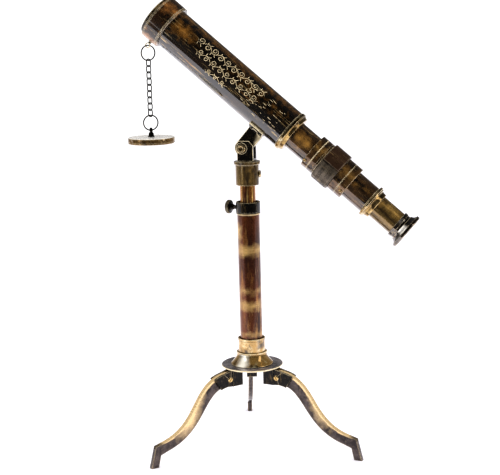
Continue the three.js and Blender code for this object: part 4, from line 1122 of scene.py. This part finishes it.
def make_eyepiece():
    """The focusing tube, its beaded end ring, the eyepiece tube and the two lenses."""
    tube, ring, eye = (Ends(node, OPTICS) for node in ("focus_tube", "eyepiece_ring", "eyepiece_tube"))
    turned("focus_barrel", ["focus_tube", "drive_pin"], [
        (tube.inner, tube.low), (tube.outer, tube.low), (tube.outer, tube.high), (tube.inner, tube.high),
    ], OPTICS, "eyepiece", inner_tube_brass, "patina_brass", step=3,
        polish=lambda x, y, z: 0.3 * facing(x, y, 60, 40))
    start, radius, spigot = ring.high - 11.1, ring.outer, tube.inner - GAP
    turned("eyepiece_bead", "eyepiece_ring", [
        (ring.inner, ring.low), (spigot, ring.low), (spigot, start), (radius - 0.7, start, 0.3),
        (radius, start + 0.8, 0.5), (radius, start + 3.0, 0.4), (radius - 0.9, start + 3.4, 0.2),
        (radius - 1.2, start + 4.6, 0.3), (tube.outer + 0.5, start + 5.2, 0.25), (tube.outer - 0.2, start + 7.2, 0.3),
        (ring.inner + 2.2, ring.high - 0.7, 0.4), (ring.inner + 1.7, ring.high, 0.25), (ring.inner, ring.high, 0.2),
    ], OPTICS, "eyepiece", gold_brass, "gold_brass",
        polish=lambda x, y, z: 0.6 * facing(x, y, 60, 50))
    turned("eyepiece_barrel", "eyepiece_tube", [
        (eye.inner, eye.low), (eye.outer, eye.low), (eye.outer, eye.high), (eye.inner, eye.high),
    ], OPTICS, "eyepiece", collar_brass, "brown_brass", step=3,
        # Painted sheen on the upper front, held off a narrow stripe that faces the camera.
        polish=lambda x, y, z: 0.6 * facing(x, y, 45, 45) - 0.6 * facing(x, y, 98, 16))
    lens_piece("field_glass", "field_lens", OPTICS, "eyepiece")
    lens_piece("eye_glass", "eye_lens", OPTICS, "eyepiece")


def make_eyecup():
    """The flared cup, hollowed towards the eye."""
    cup, tube = Ends("eyecup", OPTICS), Ends("eyepiece_tube", OPTICS).outer
    base, top, rim = cup.high - 17.1, cup.high, cup.outer

    # Painted highlights: a little sheen on the upper front of the base ring and a near-white patch on the front of the
    # flare.
    def shine(x, y, z):
        if z < base + 5:
            return 0.4 * facing(x, y, 60, 40)
        return 1.5 * bump_between(z, base + 7.5, top - 4.6, 0.6) * facing(x, y, 80, 30)

    turned("eyecup_flare", "eyecup", [
        (cup.inner, cup.low), (tube + GAP, cup.low), (tube + GAP, base), (tube + 1.9, base, 0.25),
        (tube + 2.2, base + 0.5, 0.3), (tube + 2.2, base + 4.4, 0.3), (tube + 1.5, base + 4.9, 0.15),
        (tube + 1.5, top - 9.8, 0.15), (tube + 2.8, top - 9.6, 0.3), (tube + 3.2, top - 8.2, 0),
        (tube + 3.9, top - 6.9, 0), (tube + 5.1, top - 5.6, 0), (rim - 1.5, top - 4.5, 0.2),
        (rim - 0.4, top - 4.5, 0.2), (rim, top - 4.0, 0.3), (rim, top - 0.9, 0.4),
        (rim - 0.9, top, 0.4), (rim - 2.6, top, 0.4), (rim - 4.6, top - 2.6, 0), (rim - 6.6, top - 5, 0),
        (rim - 9, top - 7.6, 0), (rim - 11, top - 9, 0), (cup.inner, cup.low + 1.6, 0.3),
    ], OPTICS, "eyepiece", eyecup_brass, "patina_brass", step=2, polish=shine)


# ---------------------------------------------------------------- head, mast and column

def make_head():
    """The swivel collar, closed over the top of the mast, and the screw that locks it."""
    collar, mast = Ends("head_collar", COLUMN), Ends("mast_tube", COLUMN)
    top, radius, bore = collar.high, collar.outer - 1.85, 9.8
    flange = top - 3.6
    turned("swivel_collar", "head_collar", [
        (0, mast.high + GAP), (bore, mast.high + GAP), (bore, collar.low), (radius - 0.5, collar.low, 0.2),
        (radius, collar.low + 0.5, 0.3), *groove(radius, flange - 1.6, 0.25, corner=0.1), (radius, flange, 0.2),
        (collar.outer - 0.3, flange, 0.3), (collar.outer, flange + 0.5, 0.3), (collar.outer, top - 0.5, 0.3),
        (collar.outer - 0.5, top, 0.3), (0, top),
    ], HEAD, "head", collar_brass, "brown_brass", step=2.5,
        polish=lambda x, y, z: (-1.0 if z > flange - 0.4 else 0.35 * facing(x, y, -60, 40)))
    place = placed(UP, joint("lock_screw_turn")["axis"], joint("lock_screw_turn")["pos_m"])
    slotted_screw("swivel_lock", "swivel_lock_screw", place, "lock_screw",
                  gold_brass, "gold_brass", head=2.3, crown=1.2, slot=1.0, angle=0.7)


def make_clevis():
    """The fork that holds the arm: a block with chamfered tops and a wide slot between its cheeks."""
    place = placed(FORK_AXIS, PIVOT_AXIS, (swivel[0], swivel[1], 0))
    points = local_points("clevis", place)
    half, outside = max(p.x for p in points), max(p.z for p in points)
    inside = min(abs(p.z) for p in points if abs(p.z) > 1)
    flip = -1 if min(p.y for p in points) < 0 else 1
    heights = [flip * p.y for p in points]
    low, high = min(heights), max(heights)
    outline = [(-half, low, 0.4), (half, low, 0.4), (half, high - 5.5, 1.2), (half - 5, high, 1.2),
               (-half + 2.5, high, 1.2), (-half, high - 2.5, 1.0)]
    loop = [Vector((p.x, flip * p.y)) for p in soften(outline)]
    mesh = slab(new_mesh(), loop, -outside, outside, 0.5)
    fork = finished("fork", mesh, place, "head", black_brass, ["clevis"])

    def arm_space(mesh):
        floor, above = sorted((flip * (low + 3), flip * (high + 2)))
        box(mesh, (-half - 2, half + 2), (floor, above), (-inside, inside))

    flat_faces(cut(fork, arm_space), 35)


def make_mast():
    """The copper mast, thicker above its stop so that it slides in the clamp ring."""
    mast = Ends("mast_tube", COLUMN)
    slides, stop = Ends("clamp_ring", COLUMN).inner - GAP, mast.low + 12
    turned("mast_barrel", "mast_tube", [
        (mast.inner, mast.low), (mast.outer, mast.low, 0.2), (mast.outer, stop, 0.2), (slides, stop),
        (slides, mast.high, 0.3), (mast.inner, mast.high, 0.3),
    ], COLUMN, "mast", mast_brass, "copper_brass", step=6, sides=80)


def make_column():
    """The column's tube, with the bands that hands have rubbed bright."""
    column = Ends("column_tube", COLUMN)

    def worn_bands(x, y, z):
        bands = [(243, 257, 13, 0.72), (194, 205, 11, 0.5), (174, 188, 13, 0.66)]
        band = max(bump_between(z, low, high, soft) * strength for low, high, soft, strength in bands)
        band *= 0.8 + 0.2 * facing(x, y, -110, 80)
        left = bump_between(z, 262, 284, 10) * facing(x, y, 200, 50) * 0.8
        foot = 0.4 * bump_between(z, 140, 150, 8)
        return max(band, left, foot)

    turned("column_barrel", "column_tube", [
        (column.inner, column.low), (column.outer, column.low), (column.outer, column.high, 0.2),
        (column.inner, column.high),
    ], COLUMN, "stand", column_brass, "brown_brass", step=2.5, polish=worn_bands)


def make_clamp_ring():
    """The ring on the column's top that grips the mast."""
    clamp, column = Ends("clamp_ring", COLUMN), Ends("column_tube", COLUMN)
    top, radius, spigot, bottom = clamp.high, clamp.outer, column.inner - GAP, column.high + GAP
    turned("clamp_band", "clamp_ring", [
        (clamp.inner, clamp.low), (spigot, clamp.low), (spigot, bottom), (radius - 0.4, bottom, 0.25),
        (radius, bottom + 0.7, 0.3), *groove(radius, bottom + 1.6, 0.35, slope=0.3),
        (radius, top - 0.6, 0.3), (radius - 0.5, top, 0.3), (radius - 1.5, top, 0.2), (radius - 1.5, top - 2.5),
        (clamp.inner, top - 2.5, 0.2),
    ], COLUMN, "stand", black_brass, "patina_brass",
        polish=lambda x, y, z: 0.5 if z < bottom + 1.5 else 0)


def make_thumb_screw():
    place = placed(UP, joint("thumb_screw_turn")["axis"], joint("thumb_screw_turn")["pos_m"])
    screw = Ends("thumb_screw", place)
    radius, top = screw.outer, screw.high

    def fluted(at, height, angle):
        return -0.3 * (1 + math.cos(angle * 36)) / 2 if at > radius - 0.45 else 0

    turned("thumb_knob", "thumb_screw", [
        (0, screw.low), (2.5, screw.low), (2.5, top - 9.6, 0.3), (3.3, top - 8.4, 0.6), (4.0, top - 5.2, 1.0),
        (radius - 1.0, top - 4.4, 0.4), (radius, top - 3.7, 0.3), (radius, top - 0.9, 0.3), (radius - 0.9, top, 0.4),
        (radius - 2.2, top, 0.3), (radius - 3.0, top - 0.5, 0.4), (0, top - 0.5),
    ], place, "thumb_screw", bracket_brass, "black_brass", sides=144, ripple=fluted)


# ---------------------------------------------------------------- base

def make_base():
    """The bell-shaped cup that holds the column, and the disc under it."""
    collar, plate, column = (Ends(node, COLUMN) for node in ("base_collar", "base_plate", "column_tube"))
    foot, top = collar.low, collar.high
    cup, socket, seat = column.outer + 2.8, column.outer + GAP, column.low - GAP
    shoulder = foot + 14.7
    turned("base_cup", "base_collar", [
        (collar.inner, foot), (collar.outer - 0.4, foot, 0.15), (collar.outer, foot + 0.5, 0.3),
        (collar.outer - 0.2, foot + 1.1, 0.3), (cup + 7.6, foot + 2.9, 0), (cup + 5.8, foot + 5, 0),
        (cup + 4.2, foot + 7.2, 0), (cup + 3, foot + 9.5, 0), (cup + 2.2, foot + 11.7, 0),
        (cup + 1.9, shoulder - 1.2, 0.2), (cup + 2.5, shoulder - 0.6, 0.3), (cup + 2.5, shoulder + 0.8, 0.4),
        (cup + 0.4, shoulder + 1.3, 0.2), (cup, shoulder + 1.8, 0.3), (cup, top - 3.2, 0.2),
        (cup + 0.5, top - 2.6, 0.25), (cup + 0.5, top - 0.4, 0.4), (cup - 0.3, top, 0.3), (cup - 0.9, top, 0.2),
        (cup - 0.9, top - 2.9), (socket, top - 3), (socket, seat), (collar.inner, seat),
    ], COLUMN, "stand", base_brass, "gold_brass", step=2.5,
        # Painted reflection: near white on the left front of the lower cone, and a little sheen on the right front
        # above.
        polish=lambda x, y, z: (1.0 * facing(x, y, -122, 34) if z < shoulder - 0.5 else 0.3 * facing(x, y, -60, 40)))
    turned("base_disc", "base_plate", [
        (plate.inner, plate.low), (plate.outer - 0.4, plate.low, 0.35), (plate.outer, plate.low + 0.6, 0.4),
        (plate.outer, plate.high - 0.6, 0.4), (plate.outer - 0.5, plate.high, 0.35), (plate.inner, plate.high),
    ], COLUMN, "stand", plate_brass, "gold_brass", step=3, sides=160,
        # Painted highlight: a bright line round the rim, with less rub colour elsewhere.
        polish=lambda x, y, z: 1.2 if math.hypot(x, y) > plate.outer - 0.2 else -0.3)


def make_base_nut():
    """The bolt up through the base, with its washer and a six-sided nut below."""
    bolt, seat = Ends("base_bolt", COLUMN), Ends("base_plate", COLUMN).low - GAP
    mesh = spin(new_mesh(), soften([
        (0, seat - 2), (9.5, seat - 2, 0.4), (9.5, seat, 0.3), (4, seat, 0.1), (4, bolt.high), (0, bolt.high),
    ], closed=False), MIDDLE_ROUND, closed=False)
    joined(mesh, slab(new_mesh(), hexagon(6, 0.3), bolt.low, seat - 1.9, 0.4))
    finished("base_nut", mesh, COLUMN, "stand", black_brass, ["base_bolt"])


# ---------------------------------------------------------------- legs

def leg_lines(number):
    """The leg's middle line and depth in radius and height: root, two handles, end, and foot."""
    place = spoke(number)
    points = local_points(f"leg_{number}", place)
    hinge = place.inverted() @ Vector(joint(f"leg_fold_{number}")["pos_m"]) / MM
    foot = max(point.x for point in points) - 5.25
    root, end = Vector((hinge.x, hinge.z)), Vector((foot - 4.3, 21))
    span, drop = end.x - root.x, root.y - end.y
    handles = [root, Vector((root.x + 0.476 * span, root.y - 0.042 * drop)),
               Vector((end.x - 0.66 * span, end.y + 0.155 * drop)), end]
    return place, handles, foot


def bezier(handles, share):
    a, b, c, d = handles
    rest = 1 - share
    point = a * rest ** 3 + 3 * b * rest ** 2 * share + 3 * c * rest * share ** 2 + d * share ** 3
    slope = 3 * ((b - a) * rest ** 2 + 2 * (c - b) * rest * share + (d - c) * share ** 2)
    return point, slope.normalized()


def leg_pairs(handles, foot):
    """Upper and lower points along the leg, from its round root to the sole of its foot."""
    root_depth, end_depth = 17, 12.6
    start, slope = bezier(handles, 0)
    across = Vector((-slope.y, slope.x))
    pairs = []
    for degrees in (8, 20, 35, 50, 65, 78):
        angle = math.radians(degrees)
        back, up = math.cos(angle) * root_depth / 2, math.sin(angle) * root_depth / 2
        pairs.append((start - slope * back + across * up, start - slope * back - across * up))
    count = 44
    for i in range(count + 1):
        share = i / count
        point, slope = bezier(handles, share)
        half = (root_depth + (end_depth - root_depth) * share) / 2
        across = Vector((-slope.y, slope.x))
        pairs.append((share, point + across * half, point - across * half))
    arm = [(pair[-2], pair[-1]) for pair in pairs if len(pair) == 2 or pair[0] <= 0.95]
    end = handles[-1]
    heel = Vector((end.x + 2.6, end.y + end_depth * 0.42))
    throat = Vector((foot - 8.65, end.y - end_depth * 0.55))
    toe, tread = Vector((foot + 5.25, 0)), Vector((foot - 5.25, 0))
    knee = [(heel.lerp(toe, k), throat.lerp(tread, k)) for k in (0.0, 0.12, 0.3, 0.5, 0.7, 0.86, 0.96, 1.0)]
    return arm + knee


LEG_EDGE = (0.08, 0.92)   # where the points lie along a leg's thin top and bottom
LEG_SIDE = (0.05, 0.12, 0.2, 0.3, 0.4, 0.5, 0.6, 0.7, 0.8, 0.88, 0.95)   # and along its flat sides


def leg_section(half, high, corner):
    """A rounded rectangle with the same count of points whatever its height."""
    middles = [(half - corner, high - corner), (corner - half, high - corner),
               (corner - half, corner - high), (half - corner, corner - high)]
    points = []
    for quarter, middle in enumerate(middles):
        points += [Vector(point[:2]) for point in arc(middle, corner, 90 * quarter, 90 * quarter + 90, 3)]
        turn = math.radians(90 * quarter + 90)
        start = points[-1]
        end = Vector(middles[(quarter + 1) % 4]) + corner * Vector((math.cos(turn), math.sin(turn)))
        points += [start.lerp(end, share) for share in (LEG_EDGE, LEG_SIDE)[quarter % 2]]
    return points


def make_leg(number):
    """A cast leg, swept along its middle line, with a painted highlight along its top and a band of rub colour at the
    bend.
    """
    place, handles, foot = leg_lines(number)
    half, corner = 3.0, 0.8
    rings = []
    for upper, lower in leg_pairs(handles, foot):
        middle, deep = (upper + lower) / 2, (upper - lower) / 2
        high, unit = deep.length, deep.normalized()
        section = leg_section(half, high, min(corner, high * 0.45))
        rings.append([Vector((middle.x + unit.x * spot.y, spot.x, middle.y + unit.y * spot.y)) for spot in section])
    mesh = stack(new_mesh(), rings)
    gold = {1: 0.5, 2: 1.0, 3: 0.6}[number]
    curve = [bezier(handles, i / 60) for i in range(61)]

    # Painted highlight along the top of the leg; a band of rub colour at the bend, stronger towards the top and
    # different on each leg.
    def rubbed(x, y, z):
        share = (x - handles[0].x) / (handles[-1].x - handles[0].x)
        point, slope = min(curve, key=lambda spot: abs(spot[0].x - x))
        depth = (z - point.y) * slope.x
        top = bump_between(depth, 4.6, 99, 1.6) if share < 1 else 0.0
        lean = min(1.0, max(0.0, 0.7 + depth / 16))
        return max(top, bump_between(share, 0.38, 0.7, 0.3) * lean * gold)

    finished(f"cast_leg_{number}", mesh, place, f"leg_{number}", leg_brass, [f"leg_{number}"], rubbed)


def make_leg_screw(number):
    """A leg's hinge screw, with its head on the side where the CAD has it."""
    node, hinge = f"leg_hinge_screw_{number}", joint(f"leg_fold_{number}")
    along = Vector(hinge["axis"])
    points = local_points(node, placed(UP, along, hinge["pos_m"]))
    head = [p.z for p in points if math.hypot(p.x, p.y) > 3]
    if abs(min(head)) > abs(max(head)):
        along = -along
    slotted_screw(f"leg_screw_{number}", node, placed(UP, along, hinge["pos_m"]), "stand",
                  gold_brass, "gold_brass", head=1.4, crown=0.8, slot=0.8, angle=0.5 + number)


def make_bracket(number):
    """The slotted bracket of a leg, with its edges broken."""
    node = f"leg_bracket_{number}"
    place = spoke(number)
    mesh = new_mesh()
    mesh.from_mesh(frame["nodes"][node].data)
    bmesh.ops.transform(mesh, matrix=place.inverted(), verts=mesh.verts)
    bmesh.ops.remove_doubles(mesh, verts=mesh.verts, dist=1e-6)
    bmesh.ops.dissolve_limit(mesh, angle_limit=math.radians(1), verts=mesh.verts, edges=mesh.edges)
    sharp = [edge for edge in mesh.edges if edge.calc_face_angle(0) > math.radians(35)]
    bmesh.ops.bevel(mesh, geom=sharp, offset=0.35 * MM, segments=2, profile=0.5, affect="EDGES")
    bmesh.ops.remove_doubles(mesh, verts=mesh.verts, dist=0.02 * MM)
    flats = [face for face in mesh.faces if face.calc_area() > 4 * MM * MM]
    bmesh.ops.inset_individual(mesh, faces=flats, thickness=0.45 * MM, use_even_offset=False)
    piece = finished(f"bracket_{number}", mesh, place, "stand", bracket_brass, [node])
    return flat_faces(piece, 30)


# ---------------------------------------------------------------- chain and cap

def make_chain():
    hangers = [("lug_ring", "lug_ring", "ring_swing", "link_1_swing")]
    hangers += [(f"chain_link_{n}", f"link_{n}", f"link_{n}_swing",
                 f"link_{n + 1}_swing" if n < 9 else "cap_ring_swing") for n in range(1, 10)]
    hangers.append(("cap_ring", "cap_ring", "cap_ring_swing", "cap_swing"))
    for node, body, hinge, below in hangers:
        across = Vector(joint(below)["axis"])
        place = placed(across, UP, joint(hinge)["pos_m"])
        points = local_points(node, place)
        size = [max(p[k] for p in points) - min(p[k] for p in points) for k in range(3)]
        radius = size[1] / 2 / math.cos(math.radians(30)) if size[1] < 1.45 else size[1] / 2
        top = max(p.z for p in points)
        path = oval(size[2], size[0], radius)
        lift = top - radius
        mesh = wire(new_mesh(), [point + Vector((0, 0, lift)) for point in path], radius)
        finished(f"wire_{node}", mesh, place, body, chain_brass, [node])


def make_cap():
    """The loose lens cap and the stud with an eye that hangs it from the chain."""
    hinge = joint("cap_swing")
    place = placed(Vector(hinge["axis"]), UP, hinge["pos_m"])
    cap = Ends("lens_cap", place)
    top, bottom, outer = cap.high, cap.low, cap.outer
    hole, eye = 1.55, 3.3
    mesh = spin(new_mesh(), soften([
        (0, top + 0.3), (4.1, top + 0.3, 0.3), (4.1, top + 1.1, 0.4), (3.3, top + 1.7, 0.3),
        (3.1, -hole - 2.0, 0.6), (2.2, -hole - 0.9, 0.4), (0, -hole - 0.8),
    ], closed=False), SMALL_ROUND, closed=False)
    ring = spin(new_mesh(), soften([
        (hole, -1.6, 0.7), (eye, -1.2, 0.8), (eye, 1.2, 0.8), (hole, 1.6, 0.7),
    ]), SMALL_ROUND)
    joined(mesh, ring, placed(UP, (1, 0, 0), (0, 0, 0)))
    finished("cap_eye", mesh, place, "cap", chain_brass, ["cap_stud"])
    recess = outer - 2.4
    turned("objective_cap", "lens_cap", [
        (0, top - 1.6), (recess - 0.5, top - 1.6, 0.2), (recess, top - 2.2, 0.3), (recess, bottom + 0.2, 0.2),
        (outer - 0.5, bottom, 0.3), (outer, bottom + 0.5, 0.3), *groove(outer, bottom + 1.6, 0.25, floor=0.3),
        (outer, top - 0.8, 0.4), (outer - 0.8, top, 0.4), (outer - 5, top, 0.1), (outer - 5.3, top - 0.25, 0.1),
        (outer - 5.8, top - 0.25, 0.1), (outer - 6.1, top, 0.1), (0, top),
    ], place, "cap", cap_brass, "gold_brass", step=3,
        # Painted highlight: the top face near white.
        polish=lambda x, y, z: 1.3 if z > top - 0.6 else 0.1)


# ---------------------------------------------------------------- studio

def make_camera():
    pitch, roll = math.radians(10.42), math.radians(-1.5)
    right, up = Vector((1, 0, 0)), Vector((0, math.sin(pitch), math.cos(pitch)))
    forward = Vector((0, math.cos(pitch), -math.sin(pitch)))
    level = right * math.cos(roll) + up * math.sin(roll)
    upright = -right * math.sin(roll) + up * math.cos(roll)
    data = bpy.data.cameras.new("camera")
    data.lens, data.sensor_width = 97.2, 36
    data.clip_start, data.clip_end = 0.05, 50
    camera = bpy.data.objects.new("camera", data)
    place = Matrix((level, upright, -forward)).transposed().to_4x4()
    place.translation = Vector((swivel[0] + 0.0013, swivel[1] - 1.621, 0.5622))
    camera.matrix_world = place
    bpy.context.scene.collection.objects.link(camera)
    bpy.context.scene.camera = camera


def make_floor():
    """The pale ground, just under the feet."""
    left, right, front, back, height = -2.0, 2.0, -0.6, 3.4, -0.0003
    corners = ((left, front), (right, front), (right, back), (left, back))
    mesh = new_mesh()
    mesh.faces.new([mesh.verts.new((x, y, height)) for x, y in corners])
    floor = shown("floor", mesh)
    material, _, shader = new_material("pale floor")
    shader.inputs["Base Color"].default_value = (0.88, 0.86, 0.91, 1)
    shader.inputs["Roughness"].default_value = 0.9
    shader.inputs["Specular IOR Level"].default_value = 0.1
    floor.data.materials.append(material)
    floor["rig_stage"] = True


def area_light(name, place, target, size, strength, colour=(1, 1, 1), mirrored=True):
    """A soft rectangular light that faces a target; one that isn't mirrored leaves no glint in the brass."""
    data = bpy.data.lights.new(name, "AREA")
    data.shape = "RECTANGLE"
    data.size, data.size_y = size
    data.energy, data.color = strength, colour
    light = bpy.data.objects.new(name, data)
    light.location = place
    light.rotation_mode = "QUATERNION"
    light.rotation_quaternion = (Vector(place) - Vector(target)).to_track_quat("Z", "Y")
    light.visible_glossy = mirrored
    bpy.context.scene.collection.objects.link(light)


def make_room():
    """A plain bright backdrop, which the brass mirrors as a room that is darker in front and above."""
    world = bpy.data.worlds.new("studio")
    bpy.context.scene.world = world
    world.use_nodes = True
    tree = world.node_tree
    tree.nodes.clear()
    out = add_node(tree, "ShaderNodeOutputWorld")
    direction = add_node(tree, "ShaderNodeSeparateXYZ")
    tree.links.new(add_node(tree, "ShaderNodeTexCoord").outputs["Generated"], direction.inputs[0])
    behind = spread(tree, direction.outputs[1], -0.4, 0.5, 0.06, 0.35)
    below = spread(tree, direction.outputs[2], 0.02, 0.4, 1.0, 0.2)
    room = add_node(tree, "ShaderNodeBackground")
    tree.links.new(product(tree, behind, below), room.inputs["Strength"])
    room.inputs["Color"].default_value = (1, 0.985, 0.97, 1)
    backdrop = add_node(tree, "ShaderNodeBackground")
    backdrop.inputs["Strength"].default_value = 1.12
    backdrop.inputs["Color"].default_value = (1, 1, 1, 1)
    chosen = add_node(tree, "ShaderNodeMixShader")
    tree.links.new(add_node(tree, "ShaderNodeLightPath").outputs["Is Glossy Ray"], chosen.inputs[0])
    tree.links.new(backdrop.outputs[0], chosen.inputs[1])
    tree.links.new(room.outputs[0], chosen.inputs[2])
    tree.links.new(chosen.outputs[0], out.inputs[0])


def make_light():
    make_room()
    area_light("overhead", (0, -0.1, 1.9), (0, 0, 0.2), (2.6, 2.0), 14, mirrored=False)
    area_light("left softbox", (-1.3, -0.9, 0.75), (0, 0, 0.3), (0.5, 1.3), 3.2)
    area_light("right softbox", (1.25, -0.75, 0.8), (0, 0, 0.3), (0.45, 1.3), 3.0, (1, 0.94, 0.86))
    bpy.context.scene.view_settings.view_transform = "Standard"
    bpy.context.scene.view_settings.look = "Medium High Contrast"


# ---------------------------------------------------------------- assembly

make_camera()
make_floor()
make_light()

make_lip_ring()
lens_piece("front_lens", "objective_lens", OPTICS, "telescope")
make_bezel()
make_main_tube()
make_rear_flange()
make_engraving()
make_chain_lug()
make_saddle()
make_arm()
make_pivot()
make_draw_tube()
make_focuser_bands()
make_focus_ring()
make_eyepiece()
make_eyecup()
make_head()
make_clevis()
make_mast()
make_column()
make_clamp_ring()
make_thumb_screw()
make_base()
make_base_nut()
for leg_number in (1, 2, 3):
    make_leg(leg_number)
    make_leg_screw(leg_number)
    make_bracket(leg_number)
make_chain()
make_cap()

settle()
